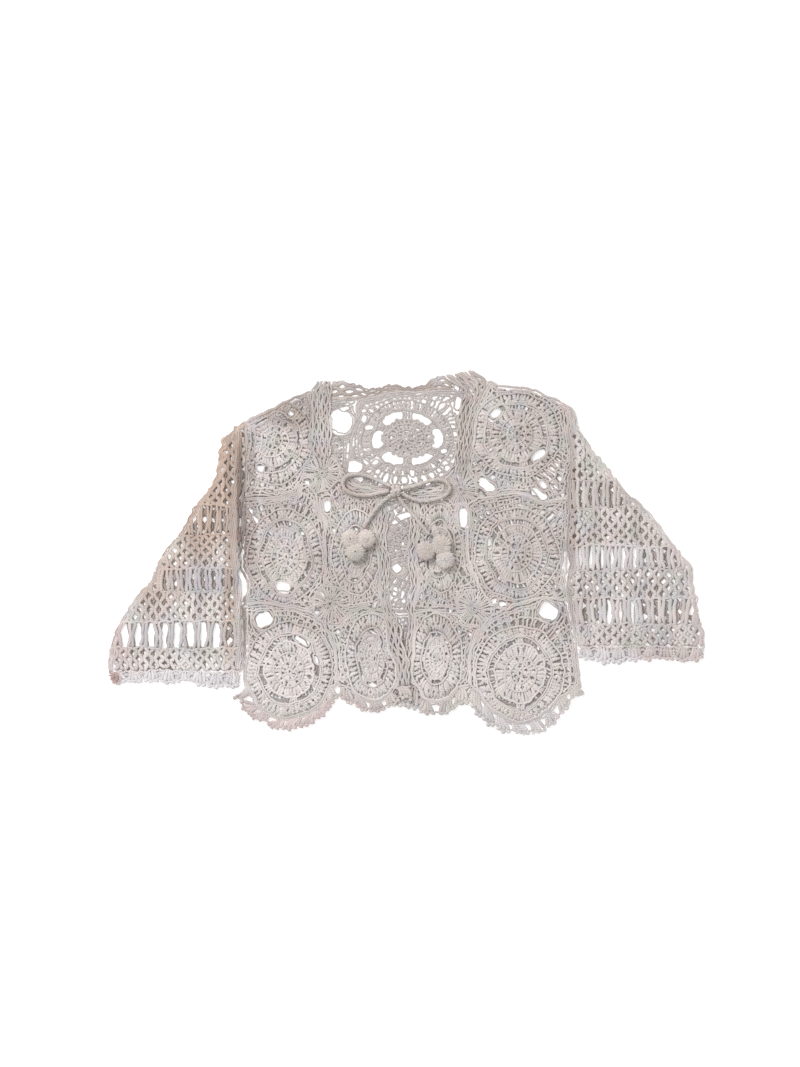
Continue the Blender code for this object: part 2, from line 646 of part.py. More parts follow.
def back_blocks():
    """The nine blocks of the back, which lies flat on the surface. It ends inside the folded edges."""
    seams = SEAMS
    shoulder_left = shifted(SHOULDER_LEFT, BACK_INSET, False)
    shoulder_right = shifted(SHOULDER_RIGHT, -BACK_INSET, False)
    side_left = shifted(SIDE_LEFT, BACK_INSET, False)
    side_right = shifted(SIDE_RIGHT, -BACK_INSET, False)
    left_top, left_mid = "back_star_left_top", "back_star_left_mid"
    right_top, right_mid = "back_star_right_top", "back_star_right_mid"
    underarm_left, underarm_right = (-203, -14), (197, 4)
    outlines = {
        "back_left_top": [
            *reversed(seams["back_neck"][:2]), *BACK_PEAK_LEFT, *shoulder_left, *ARMHOLE_LEFT[:2],
            *seams["back_row_top_left"], *star_corners(left_top, 4, 2), *reversed(seams["back_left_column_top"]),
        ][1:],
        "back_left_mid": [
            *ARMHOLE_LEFT[2:5], underarm_left, *side_left[:3], *seams["back_row_low_left"],
            *star_corners(left_mid, 4, 2), *reversed(seams["back_left_column_mid"]),
            *star_corners(left_top, 5, 4), *reversed(seams["back_row_top_left"]),
        ],
        "back_left_bottom": [
            *side_left[2:], *hem_line("back_left_bottom", 212, 328), *reversed(seams["back_left_column_low"]),
            *star_corners(left_mid, 5, 4), *reversed(seams["back_row_low_left"]),
        ],
        "back_mid_top": [
            *seams["back_neck"][1:], *seams["back_right_column_top"][1:], *star_corners(right_top, 2, 4),
            *star_corners(left_top, -1, 2), *reversed(seams["back_left_column_top"][1:]),
        ],
        "back_mid_mid": [
            *star_corners(left_top, 7, 5), *seams["back_left_column_mid"], *star_corners(left_mid, 2, -1),
            *star_corners(right_mid, 4, 2), *reversed(seams["back_right_column_mid"]),
            *star_corners(right_top, 5, 4),
        ],
        "back_mid_bottom": [
            *star_corners(left_mid, 7, 5), *seams["back_left_column_low"], *hem_line("back_mid_bottom", 214, 326),
            *reversed(seams["back_right_column_low"]), *star_corners(right_mid, 5, 4),
        ],
        "back_right_top": [
            *reversed(seams["back_neck"][-2:]), *BACK_PEAK_RIGHT, *shoulder_right[1:], *ARMHOLE_RIGHT[:4],
            *reversed(seams["back_row_top_right"]), *star_corners(right_top, -1, 2),
            *reversed(seams["back_right_column_top"][1:]),
        ],
        "back_right_mid": [
            *seams["back_row_top_right"], *ARMHOLE_RIGHT[4:5], underarm_right, *side_right[:3],
            *reversed(seams["back_row_low_right"]), *star_corners(right_mid, -1, 2),
            *reversed(seams["back_right_column_mid"]), *star_corners(right_top, 5, 7),
        ],
        "back_right_bottom": [
            *seams["back_row_low_right"], *side_right[2:], *reversed(hem_line("back_right_bottom", 212, 326)),
            *reversed(seams["back_right_column_low"]), *star_corners(right_mid, 5, 7),
        ],
    }
    for name, outline in outlines.items():
        block(name, outline)


def slots(side):
    """The long loops' open slots, pointed at both ends."""
    holes = []
    for top, bottom, first, pitch, count, width in SLOT_ROWS[side]:
        for k in range(count):
            x = first + k * pitch
            shape = ((0, top), (-1, top - 4), (-1, bottom + 4), (0, bottom), (1, bottom + 4), (1, top - 4))
            holes.append([(x + a * width / 2, y) for a, y in shape])
    return holes


def sleeves():
    """Both sleeves, each pressed flat into a front and a back."""
    tops = {
        "left": (SHOULDER_LEFT[-1:] + SLEEVE_LEFT, ARMHOLE_LEFT, INNER_SLEEVE_LEFT, 1),
        "right": (SHOULDER_RIGHT[-1:] + SLEEVE_RIGHT, ARMHOLE_RIGHT, INNER_SLEEVE_RIGHT, -1),
    }
    for side, (outer, armhole, inner, way) in tops.items():
        outline = [*outer, *reversed(inner), *reversed(armhole)]
        holes = slots(side)
        crest, foot = (shifted(ARMHOLE_LINES[side], -way * d, False) for d in (RIDGE_CREST, RIDGE_END))
        ribs = [[(x, y, 0.8) for x in range(-372, 373, 24)] for y in ROUNDS[side]]
        rows = FOLD_ROWS + [crest, foot]
        panel(f"sleeve_{side}_front", outline, holes, ribs, sleeve_floor(side), rows)
        back_outer = shifted(outer, way * BACK_INSET, False)
        back_inner = shifted(armhole[-1:] + inner, -way * BACK_INSET, False)
        for line in (back_outer, back_inner):
            line[-1] = (line[-1][0], CUFF_TOPS[side])
        start = 1 if side == "left" else 2
        back_outline = [
            SLEEVE_BACK_TOPS[side], *back_outer[start:], *reversed(back_inner[1:]), *reversed(armhole[:-1]),
        ]
        if side == "right":
            back_outline.remove(armhole[0])
        panel(f"sleeve_{side}_back", back_outline, holes)


def picots(line, way):
    """The line with a small point at each pitch, to its left or its right."""
    lengths = [math.dist(a, b) for a, b in zip(line, line[1:])]
    total = sum(lengths)
    steps = 2 * round(total / PICOT_PITCH)
    edge = []
    for k in range(steps + 1):
        along = total * k / steps
        i = 0
        while i < len(lengths) - 1 and along > lengths[i]:
            along -= lengths[i]
            i += 1
        share = along / lengths[i]
        (ax, ay), (bx, by) = line[i], line[i + 1]
        ux, uy = unit(bx - ax, by - ay)
        out = way * PICOT_DEPTH * (0.5 if k % 2 else -0.5)
        edge.append((ax + share * (bx - ax) - out * uy, ay + share * (by - ay) + out * ux))
    return edge


def scallop(block_name, first_radius, last_radius, belly, first, last):
    """One scallop of the hem: an arc about a medallion's centre."""
    medallion = MEDALLIONS[block_name]
    count = max(4, round(math.radians(last - first) * first_radius / PICOT_PITCH))
    arc = []
    for i in range(count):
        share = i / (count - 1)
        radius = first_radius + share * (last_radius - first_radius) + belly * math.sin(math.pi * share)
        arc.append(ellipse_point(medallion, radius, radius, first + share * (last - first)))
    return arc


def hems():
    """The picot edgings of both fronts and of the back."""
    shapes = {
        "hem_left": [
            SIDE_LEFT[-1], *hem_line("front_left_bottom", 203, 337), SEAMS["left_column_low"][-1],
            *hem_line("front_left_inner_bottom", 222, 318), OPENING_LEFT_IN[-1], OPENING_LEFT_OUT[-1],
        ],
        "hem_right": [
            OPENING_RIGHT_OUT[-1], OPENING_RIGHT_IN[-1], *hem_line("front_right_inner_bottom", 222, 318),
            SEAMS["right_column_low"][-1], *hem_line("front_right_bottom", 203, 330), SIDE_RIGHT[-1],
        ],
    }
    for name, inner in shapes.items():
        outer = [*HEM_STARTS[name]]
        for row in HEM_SCALLOPS[name]:
            outer += picots(scallop(*row), -1)
        outer.append(HEM_ENDS[name])
        floor, rows = front_floor, FOLD_ROWS
        if name == "hem_left":
            floor = left_hem_floor
            rows = FOLD_ROWS + [[(x, -150), (x, -210)] for x in (HEM_CLIMB_FROM, -8.0, HEM_CLIMB_TO)]
        panel(name, [*inner, *reversed(outer)], floor=floor, rows=rows)
    side_left = shifted(SIDE_LEFT, BACK_INSET, False)[-1]
    side_right = shifted(SIDE_RIGHT, -BACK_INSET, False)[-1]
    inner = [
        side_left, *hem_line("back_left_bottom", 212, 328), SEAMS["back_left_column_low"][-1],
        *hem_line("back_mid_bottom", 214, 326), SEAMS["back_right_column_low"][-1],
        *hem_line("back_right_bottom", 212, 326), side_right,
    ]
    outer = []
    for row in HEM_SCALLOPS["hem_back"]:
        outer += scallop(*row)
    panel("hem_back", [*inner, *reversed(outer)])


def cuffs():
    for side in ("left", "right"):
        top = CUFF_TOPS[side]
        edge = CUFF_EDGES[side]
        ends = {"left": (SLEEVE_LEFT[-1], INNER_SLEEVE_LEFT[-1]), "right": (INNER_SLEEVE_RIGHT[-1], SLEEVE_RIGHT[-1])}
        start, end = ends[side]
        outline = [start, *picots(edge, -1), end]
        panel(f"cuff_{side}_front", outline, floor=front_floor, rows=FOLD_ROWS)
        low = [(x, y + CUFF_BACK_LIFT) for x, y in edge[1:-1]]
        start_in, end_in = (start[0] + BACK_INSET + 1, top), (end[0] - BACK_INSET - 1, top)
        low_ends = (start_in[0], edge[0][1] + CUFF_BACK_LIFT), (end_in[0], edge[-1][1] + CUFF_BACK_LIFT)
        panel(f"cuff_{side}_back", [start_in, low_ends[0], *low, low_ends[1], end_in])


def ribbed(first_edge, second_edge, shares, rise):
    """Ribs along a strip, at shares of the way between its two edges."""
    ribs = []
    for share in shares:
        ribs.append([
            (a[0] + share * (b[0] - a[0]), a[1] + share * (b[1] - a[1]), rise)
            for a, b in zip(first_edge, second_edge)
        ])
    return ribs


def bands():
    """The ribbed strips round the neck and down the front opening."""
    outer = [*PEAK_LEFT, SHOULDER_LEFT[0], *SEAMS["left_band"]]
    outline = [*outer, *star_corners("front_star_left_top", 2, 1), BAND_LEFT_FOOT, *BAND_LEFT_INNER]
    ribs = [[(x, y, RIB) for y in (205, 180, 155, 132)] for x in (-114.5, -107.5, -100.5)]
    panel("band_left", outline, creases=ribs, floor=front_floor, rows=FOLD_ROWS)

    outer = [*PEAK_RIGHT, SHOULDER_RIGHT[0], *SEAMS["right_band"]]
    outline = [*outer, *star_corners("front_star_right_top", 1, 2), BAND_RIGHT_FOOT, *BAND_RIGHT_INNER]
    ribs = [
        [(84 + lean - (12 + lean) * t, 212 - 92 * t, RIB) for t in (0.0, 0.35, 0.7, 1.0)] for lean in (-5, 0, 6)
    ]
    panel("band_right", outline, creases=ribs, floor=front_floor, rows=FOLD_ROWS)

    outline = [
        *star_corners("front_star_left_top", 1, -1), *SEAMS["neck_left"], OPENING_LEFT_IN[0],
        OPENING_LEFT_OUT[0], *reversed(NECK_LEFT_TOP), BAND_LEFT_FOOT,
    ]
    rib = [[(-80, 97, 0.8), (-68, 88, 0.8), (-44, 83, 0.8), (-25, 82, 0.8)]]
    panel("neck_left", outline, creases=rib, floor=front_floor)

    outline = [
        OPENING_RIGHT_OUT[0], OPENING_RIGHT_IN[0], *SEAMS["neck_right"],
        *star_corners("front_star_right_top", 4, 2), BAND_RIGHT_FOOT, *reversed(NECK_RIGHT_TOP),
    ]
    rib = [[(10, 80, 0.8), (26, 81, 0.8), (40, 85, 0.8)]]
    panel("neck_right", outline, creases=rib, floor=front_floor)

    outline = [*NECK_BACK_TOP, *BACK_PEAK_RIGHT[:1], *reversed(SEAMS["back_neck"][:-1])]
    panel("neck_back", outline)

    middle = [[(x, y) for x, y, _ in rib] for rib in ribbed(OPENING_LEFT_IN, OPENING_LEFT_OUT, (0.5,), 0.0)]
    strips = (
        ("opening_left", OPENING_LEFT_IN, OPENING_LEFT_OUT, left_strip_floor, middle),
        ("opening_right", OPENING_RIGHT_IN, OPENING_RIGHT_OUT, front_floor, ()),
    )
    for name, inner, outer, floor, rows in strips:
        ribs = ribbed(inner, outer, (0.28, 0.72), RIB)
        panel(name, [*inner, *reversed(outer)], creases=ribs, floor=floor, rows=rows)


def smooth_route(points, step):
    """Points about a step apart on a smooth curve through the route's points."""
    ends = [tuple(2 * a - b for a, b in zip(points[0], points[1]))]
    ends += points
    ends.append(tuple(2 * a - b for a, b in zip(points[-1], points[-2])))
    fine = []
    for p0, p1, p2, p3 in zip(ends, ends[1:], ends[2:], ends[3:]):
        for k in range(8):
            t = k / 8
            fine.append(tuple(
                0.5 * (2 * b + (c - a) * t + (2 * a - 5 * b + 4 * c - d) * t * t + (3 * b - a - 3 * c + d) * t**3)
                for a, b, c, d in zip(p0, p1, p2, p3)
            ))
    fine.append(points[-1])
    lengths = [math.dist(a, b) for a, b in zip(fine, fine[1:])]
    total = sum(lengths)
    count = max(3, round(total / step))
    route = [fine[0]]
    passed, i = 0.0, 0
    for k in range(1, count):
        target = total * k / count
        while passed + lengths[i] < target:
            passed += lengths[i]
            i += 1
        share = (target - passed) / lengths[i]
        route.append(tuple(a + share * (b - a) for a, b in zip(fine[i], fine[i + 1])))
    route.append(fine[-1])
    return route


def tie_cords():
    for name, points in TIE_ROUTES.items():
        curve = bpy.data.curves.new(name, "CURVE")
        curve.dimensions = "3D"
        curve.bevel_depth = TIE_DIAMETER / 2 * MM
        curve.bevel_resolution = TIE_SIDES_SETTING
        curve.use_fill_caps = True
        route = smooth_route(points, TIE_STEP)
        spline = curve.splines.new("POLY")
        spline.points.add(len(route) - 1)
        for point, place in zip(spline.points, route):
            point.co = (*[c * MM for c in place], 1.0)
        curve.materials.append(yarn_material(name))
        bpy.context.collection.objects.link(bpy.data.objects.new(name, curve))


def ball(name, centre, half, segments, rings):
    """A ball with these half-sizes, as a mesh object."""
    work = bmesh.new()
    bmesh.ops.create_uvsphere(work, u_segments=segments, v_segments=rings, radius=1.0)
    for vertex in work.verts:
        vertex.co = [(c + h * v) * MM for c, h, v in zip(centre, half, vertex.co)]
    mesh = bpy.data.meshes.new(name)
    work.to_mesh(mesh)
    work.free()
    mesh.materials.append(yarn_material(name))
    mesh.shade_smooth()
    obj = bpy.data.objects.new(name, mesh)
    bpy.context.collection.objects.link(obj)
    return obj


def knot_and_puffs():
    """The knot, and a three-lobed puff flower on each tail."""
    ball("tie_knot", KNOT_AT, KNOT_HALF, 12, 8)
    for name, lobes in PUFF_LOBES.items():
        middle_x = sum(lobe[0] for lobe in lobes) / len(lobes)
        middle_y = sum(lobe[1] for lobe in lobes) / len(lobes)
        core = ball(name, (middle_x, middle_y, PUFF_Z), (9, 9, 0.8 * PUFF_HALF_HEIGHT), 10, 6)
        for k, (x, y, radius) in enumerate(lobes):
            lobe = ball(f"{name}_lobe_{k}", (x, y, PUFF_Z), (radius, radius, PUFF_HALF_HEIGHT), 12, 8)
            lobe.hide_render = True
            lobe.display_type = "WIRE"
            join = core.modifiers.new(f"lobe_{k}", "BOOLEAN")
            join.operation = "UNION"
            join.object = lobe


def centre_on_origin():
    """Moves every piece by the same step, so that the origin is under the middle of the plan."""
    meshes = [obj for obj in bpy.context.collection.objects if obj.type == "MESH" and not obj.hide_render]
    places = [vertex.co for obj in meshes for vertex in obj.data.vertices]
    middle = [(min(p[k] for p in places) + max(p[k] for p in places)) / 2 for k in (0, 1)]
    for obj in bpy.context.collection.objects:
        obj.location = (-middle[0], -middle[1], 0.0)


def main():
    clear_scene()
    front_blocks()
    back_blocks()
    for name in STARS:
        star(name)
    sleeves()
    hems()
    cuffs()
    bands()
    tie_cords()
    knot_and_puffs()
    centre_on_origin()


main()
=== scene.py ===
"""Looks of the crochet cardigan: every strand of yarn that shows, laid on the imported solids.

The plan is in millimetres as in the part's own source, +X to the right, +Y towards the neck, and heights
are above the surface that the garment lies on. Left and right are as seen from above.
"""

import itertools
import math

import bpy
import numpy as np
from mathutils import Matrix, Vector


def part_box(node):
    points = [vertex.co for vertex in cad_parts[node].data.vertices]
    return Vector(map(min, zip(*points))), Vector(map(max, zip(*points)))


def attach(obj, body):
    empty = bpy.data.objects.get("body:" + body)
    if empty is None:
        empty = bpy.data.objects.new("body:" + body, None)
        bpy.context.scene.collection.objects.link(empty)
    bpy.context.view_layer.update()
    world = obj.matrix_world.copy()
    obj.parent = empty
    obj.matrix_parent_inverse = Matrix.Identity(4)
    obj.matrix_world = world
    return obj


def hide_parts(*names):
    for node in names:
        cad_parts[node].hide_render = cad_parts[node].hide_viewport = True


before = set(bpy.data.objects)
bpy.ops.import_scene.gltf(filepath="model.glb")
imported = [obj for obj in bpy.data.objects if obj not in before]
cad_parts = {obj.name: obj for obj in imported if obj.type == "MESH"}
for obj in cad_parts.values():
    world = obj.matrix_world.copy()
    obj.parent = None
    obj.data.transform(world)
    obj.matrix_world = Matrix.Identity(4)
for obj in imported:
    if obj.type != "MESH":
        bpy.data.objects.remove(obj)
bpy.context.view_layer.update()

MM = 0.001
SEED = 7

# Heights and layers of the cloth, as the solids have them
WALL = 1.8
GAP = 0.3
FRONT_Z = WALL + GAP
FOLD = 5.0  # width of the quarter round at a folded edge
FOLD_LIFT = 0.2  # height of a folded edge's underside
BACK_INSET = 6.2  # how far the back's edges lie inside the front's
RIB = 0.8  # how far each second rope of a band stands up
RIDGE = 2.6  # height of the roll beside the armhole
RIDGE_START, RIDGE_END = 3.0, 19.0  # how far the roll starts outside the armhole's line and ends inside
CLIMB_FROM, CLIMB_TO = -84.0, -109.0  # y where the left strip climbs on to the right one
CLIMB = WALL + GAP + RIB + 0.1
HEM_CLIMB_FROM, HEM_CLIMB_TO = -13.0, -3.6  # x where the left hem does
STAR_RADIUS = 23.0
STAR_SIDES = 8
FLOWER_SHARE = 0.76  # size of a flower in the hole of its ring
HEM_CLEARANCE = 1.5  # between a bottom block's ring and the hem
CUFF_BACK_LIFT = 5.0  # how much higher the back of a cuff ends
KNOT_AT = (-13, 81, 9.6)  # the knot's centre
PUFF_HALF_HEIGHT = 6.0
PUFF_Z = 11.3  # height of the puffs' middle

# The plan's origin in the row frame, in metres
knot_low, knot_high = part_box("tie_knot")
TO_ROW = np.array([
    (knot_low.x + knot_high.x) / 2 - KNOT_AT[0] * MM,
    (knot_low.y + knot_high.y) / 2 - KNOT_AT[1] * MM,
    0.0,
])

# Photograph: its size in pixels, the plan's scale, and the pixel that the plan's origin falls on
PHOTO_SIZE = (800, 1067)
MM_PER_PIXEL = 1.27
PLAN_ORIGIN_PIXEL = (406.5, 554.5)

# Round medallions. Columns: centre x, y, the dense ring's inner and outer half-sizes, turn of its gaps in
# degrees
MEDALLIONS = {
    "front_left_top": (-170, 144, 36, 38, 50, 55, 0),
    "front_left_mid": (-154, -2.5, 32, 45.5, 48, 59, 30),
    "front_left_bottom": (-149, -147, 37, 42, 55, 61, 10),
    "front_left_inner_mid": (-64, 2, 18, 34, 31, 55, 30),
    "front_left_inner_bottom": (-44, -131, 19, 36, 33, 56, 30),
    "front_right_inner_mid": (42, 8, 18, 36, 28, 55, 30),
    "front_right_inner_bottom": (38, -132, 18, 33, 33, 55, 30),
    "front_right_top": (139.5, 152, 39, 40, 57, 54, 15),
    "front_right_mid": (140, 1.5, 36, 44.5, 54, 59, 30),
    "front_right_bottom": (144, -151.5, 37.5, 45, 56, 60, 0),
    "back_left_top": (-137, 130, 40, 34, 58, 48, 0),
    "back_mid_top": (0.5, 147.5, 44, 34.5, 58, 48, 0),
    "back_right_top": (139.5, 150, 42, 42, 58, 56, 15),
    "back_left_mid": (-147, 2, 44, 48, 57, 60, 30),
    "back_mid_mid": (14, 10, 44, 42, 58, 57, 0),
    "back_right_mid": (136, 2, 42, 44, 56, 56, 30),
    "back_left_bottom": (-140, -134, 44, 44, 57, 57, 10),
    "back_mid_bottom": (3, -134, 38, 38, 50, 50, 0),
    "back_right_bottom": (143, -134, 44, 44, 57, 57, 0),
}

# Star fillers, each where four blocks meet. Columns: centre x, y
STARS = {
    "front_star_left_top": (-107, 102),
    "front_star_left_mid": (-96, -64),
    "front_star_right_top": (68, 83),
    "front_star_right_mid": (86, -68),
    "back_star_left_top": (-67, 78),
    "back_star_right_top": (70, 86),
    "back_star_left_mid": (-67, -64),
    "back_star_right_mid": (73, -64),
}

# Outer lines of the garment, from the neck outwards and then downwards. Columns: x, y
PEAK_LEFT = ((-95, 219), (-98, 229), (-106, 227), (-113, 221))
SHOULDER_LEFT = ((-122, 210), (-148, 197.5), (-181, 182.5), (-207, 167))
SLEEVE_LEFT = (
    (-233, 149), (-238.5, 131), (-240.5, 110), (-245.5, 95), (-270, 57), (-301, 8), (-315, -8),
    (-326, -34), (-351, -63), (-363, -82), (-373, -110), (-379, -134), (-379, -148),
)
ARMHOLE_LEFT = ((-205, 133), (-206, 101), (-210, 70), (-211, 44), (-211, 12), (-211, -14))
SIDE_LEFT = ((-207.5, -25), (-204.5, -43), (-208.5, -61), (-207, -109), (-206, -140), (-206, -166))
INNER_SLEEVE_LEFT = ((-213, -25), (-213, -43), (-210.5, -61), (-208.6, -109), (-208.3, -148))
PEAK_RIGHT = ((48, 228), (59, 235), (74, 231.5), (86, 234.5))
SHOULDER_RIGHT = ((103, 222), (115, 216), (137, 214), (164, 209.5), (186, 199), (203, 190))
SLEEVE_RIGHT = (
    (212, 180), (220, 159), (234, 136), (251, 115), (267, 95), (284, 73), (309, 51), (334.5, 19),
    (349, 3), (364, -16), (365, -50), (371, -76), (378, -100), (379, -116),
)
ARMHOLE_RIGHT = ((206, 165), (209, 133), (209, 101), (206, 73), (206, 44), (205, 10))
SIDE_RIGHT = ((202, -10), (200.5, -38), (207.3, -58), (211, -82), (215.8, -112), (218.5, -142), (223, -166))
INNER_SLEEVE_RIGHT = ((206.5, -10), (204.5, -38), (209.6, -58), (213, -82), (217.8, -109), (218.6, -116))

# Ribbed strips along the front opening, both edges from the neck down. Columns: x, y
OPENING_LEFT_IN = (
    (-36, 77), (-36, 44), (-35, 6), (-32, -45), (-29, -70), (-22, -109), (-13, -140), (-10, -166),
)
OPENING_LEFT_OUT = (
    (-24, 77), (-23, 44), (-23, 6), (-22, -45), (-16, -70), (-5, -109), (5, -140), (6, -166),
)
OPENING_RIGHT_OUT = ((6, 75), (3, 44), (3, 6), (3, -45), (1, -73), (-1, -109), (-2, -140), (-2, -166))
OPENING_RIGHT_IN = ((14, 75), (13, 44), (13, 6), (12, -45), (10, -73), (8, -109), (7, -140), (7, -166))

# Seams between blocks: the points that neighbours share. Columns: x, y
SEAMS = {
    "left_band": ((-119, 165), (-119, 130)),
    "left_row_top": ((-164, 70), (-140, 76)),
    "left_column_top": ((-112, 60), (-104, 40), (-103, 6)),
    "left_row_low": ((-155, -64),),
    "left_column_low": ((-91, -121), (-88, -166)),
    "left_row_inner": ((-53, -68),),
    "right_band": ((92, 196), (84, 158), (81, 126)),
    "right_row_top": ((172, 68), (140, 78), (108, 75)),
    "right_column_top": ((80, 45), (76, 20), (77, -7)),
    "right_row_low": ((178, -55), (140, -63)),
    "right_column_low": ((81, -121), (80, -166)),
    "right_row_inner": ((43, -73),),
    "neck_left": ((-72, 81), (-44, 77)),
    "neck_right": ((30, 75),),
    "back_left_column_top": ((-62, 199), (-72, 125)),
    "back_left_column_mid": ((-73, 30), (-73, -10)),
    "back_left_column_low": ((-67, -110), (-67, -166)),
    "back_right_column_top": ((77, 206), (77, 125)),
    "back_right_column_mid": ((59, 45), (63, 28), (70, 0)),
    "back_right_column_low": ((73, -110), (73, -166)),
    "back_row_top_left": ((-209, 78), (-140, 76)),
    "back_row_top_right": ((130, 66), (206, 66)),
    "back_row_low_left": ((-150, -64),),
    "back_row_low_right": ((130, -72), (160, -57)),
    "back_neck": ((-95, 194), (-62, 199), (-40, 203), (3, 208), (43, 208), (60, 208), (77, 206)),
}
BAND_LEFT_FOOT = (-96, 129)
BAND_RIGHT_FOOT = (61, 114)
BAND_LEFT_INNER = ((-96, 171), (-95, 145))
BAND_RIGHT_INNER = ((66, 212), (74, 203), (67.5, 184), (65, 171), (62, 133))
NECK_LEFT_TOP = ((-88, 124), (-77, 104), (-66, 94), (-44, 88.5), (-18, 87.5))
NECK_RIGHT_TOP = ((6, 85), (25, 87), (40, 93), (50, 106))
NECK_BACK_TOP = (
    (-95, 217), (-81, 218.5), (-60, 215), (-54, 210), (-34, 211), (-22, 215), (-12, 215.5), (7, 212.5),
    (21, 216), (32, 223), (46, 226.5),
)
BACK_PEAK_LEFT = ((-97, 216), (-102, 219), (-109, 213))
BACK_PEAK_RIGHT = ((60, 216), (64, 226), (74, 223.5), (85, 226), (99, 215))
BACK_UNDERARM_LEFT, BACK_UNDERARM_RIGHT = (-203, -14), (197, 4)

# Long-loop rounds of the sleeves. Columns: top y, bottom y, first slot's x, pitch, slot width
SLOT_ROWS = {
    "left": ((60, 28, -269, 12.2, 6.0), (-20, -45, -307, 12.3, 4.6), (-87, -117, -358, 16.6, 9.4)),
    "right": ((90, 61, 222, 12.8, 4.4), (8, -17, 221, 13.6, 5.4), (-58, -87, 227, 15.0, 6.4)),
}

# Large gaps of the net. Columns: x, y, half-length, half-width, turn in degrees, and the front and back
# blocks that have them
NET_GAPS = (
    (-84, 168.4, 13.8, 12.6, -22, None, "back_left_top"),
    (-67, 111.6, 8.6, 6.4, -6, None, "back_mid_top"),
    (65, 191.3, 8.8, 2.8, 76, None, "back_mid_top"),
    (101.8, 89, 11.4, 5.0, -38, "front_right_top", "back_right_top"),
    (168.7, 76.5, 11.4, 3.4, -37, "front_right_top", "back_right_top"),
    (110.5, -60, 4.6, 2.8, 30, "front_right_mid", "back_right_mid"),
    (121.5, -63.5, 4.6, 2.8, -15, "front_right_mid", "back_right_mid"),
    (-181.3, -81.8, 10.4, 7.8, 22, "front_left_bottom", "back_left_bottom"),
    (179.6, -71.2, 10.8, 9.6, -31, "front_right_bottom", "back_right_bottom"),
    (71.5, 47.2, 12, 5, -86, "front_right_inner_mid", "back_right_mid"),
    (-101, 62, 6.6, 3.6, 88, "front_left_inner_mid", "back_left_mid"),
)

# Smaller gaps that show the floor through both layers. Columns: x, y, half-length, half-width, turn in
# degrees
THROUGH_GAPS = (
    (-156.5, -41.5, 8.4, 5.5, -16),
    (167, 126.5, 8.4, 3.7, 32),
    (113, 178, 7.1, 3.4, 42),
    (-133.5, -110, 8.8, 3.3, -30),
    (-113, -134, 5.4, 1.8, -70),
    (-24.5, 71.5, 7.6, 2.9, 43),
    (-12.5, -17.5, 4.9, 3.5, -48),
    (-5, 49.5, 7.7, 2.4, 15),
    (-14, 43, 3.7, 1.8, 48),
    (-17, -50, 2.9, 1.8, 0),
    (-186, 110, 4.6, 3.8, 0),
    (-147, 180, 3.4, 2.0, -35),
    (173, 88.5, 4.5, 3.5, -49),
    (95, 75.5, 4.2, 1.8, -50),
    (80, 127, 4.4, 1.8, -87),
    (106, 13.5, 5.0, 1.6, 85),
    (-60.5, 98, 3.6, 3.3, 0),
    (-52, 118.5, 3.5, 2.2, -44),
    (-40, 119, 3.4, 2.2, 38),
    (7, 103, 3.8, 2.4, 83),
    (47.5, 131, 3.2, 2.6, 19),
    (-49, 163, 4.6, 1.8, 0),
    (-55.5, 173, 3.2, 2.2, 56),
    (-125, 92, 5.5, 1.9, 0),
    (-116, -71.5, 4.4, 2.3, 44),
    (-39.5, -63, 5.4, 1.7, 73),
    (116.5, -72.5, 3.3, 2.1, -10),
    (52.5, -72, 2.6, 2.4, 0),
)

# The hem's scallops, arcs about a block's medallion. Columns: block, radius at the first and at the last
# angle, what the middle adds to it, first and last angle in degrees
HEM_SCALLOPS = {
    "hem_left": (
        ("front_left_bottom", 78, 70, 1, 209, 331),
        ("front_left_inner_bottom", 65, 67, 5, 238, 312),
    ),
    "hem_right": (
        ("front_right_inner_bottom", 71, 67, 4, 234, 303),
        ("front_right_bottom", 78, 76, 2, 225, 338),
    ),
    "hem_back": (
        ("back_left_bottom", 71, 71, 0, 222, 314),
        ("back_mid_bottom", 60, 60, 0, 228, 312),
        ("back_right_bottom", 71, 71, 0, 228, 320),
    ),
}

# Lower edges of the cuffs. Columns: x, y
CUFF_EDGES = {
    "left": (
        (-377, -166), (-352, -163), (-327, -162), (-296, -166), (-283, -161), (-255, -171), (-212, -171),
    ),
    "right": ((220, -135), (242, -141), (277, -140), (297, -135), (346, -136), (369, -138), (377, -130)),
}
CUFF_TOPS = {"left": -148, "right": -116}  # where each sleeve's net ends

# Routes of the tie's four lengths of cord, from the knot. Columns: x, y, z of the cord's middle
TIE_ROUTES = {
    "tie_loop_left": (
        (-22.0, 80.9, 9.6), (-33, 78.8, 8.6), (-48, 75.5, 8.0), (-64, 76, 8.0), (-76, 81, 8.0),
        (-81, 90, 8.0), (-76, 99, 8.0), (-63, 102, 8.0), (-48, 99, 8.0), (-34, 93, 8.6),
        (-20.0, 86.9, 9.6),
    ),
    "tie_loop_right": (
        (-4.4, 83.7, 9.6), (8, 86.5, 8.6), (22, 91, 8.0), (38, 95, 8.0), (50, 92, 8.0), (55, 84, 8.0),
        (49, 75, 8.0), (36, 70, 8.0), (20, 68, 8.0), (7, 71, 8.4), (-5.0, 77.0, 9.6),
    ),
    "tie_tail_left": (
        (-19.0, 74.9, 9.4), (-28, 69, 8.6), (-38, 59, 8.0), (-46, 48, 8.0), (-51, 40, 8.6), (-55, 34.5, 9.6),
    ),
    "tie_tail_right": (
        (-10.0, 73.0, 9.4), (-4, 64, 8.6), (6, 53, 8.0), (16, 41, 8.0), (24, 31, 8.6), (29, 25, 9.6),
    ),
}

# Puff flowers at the tie's ends. Columns: lobe's x, y, radius
PUFF_LOBES = {
    "puff_left": ((-71, 20, 12.5), (-51, 20, 12.0), (-65, 4, 12.5)),
    "puff_right": ((44, 12, 13.0), (49, -6, 12.0), (24, 5, 12.5)),
}

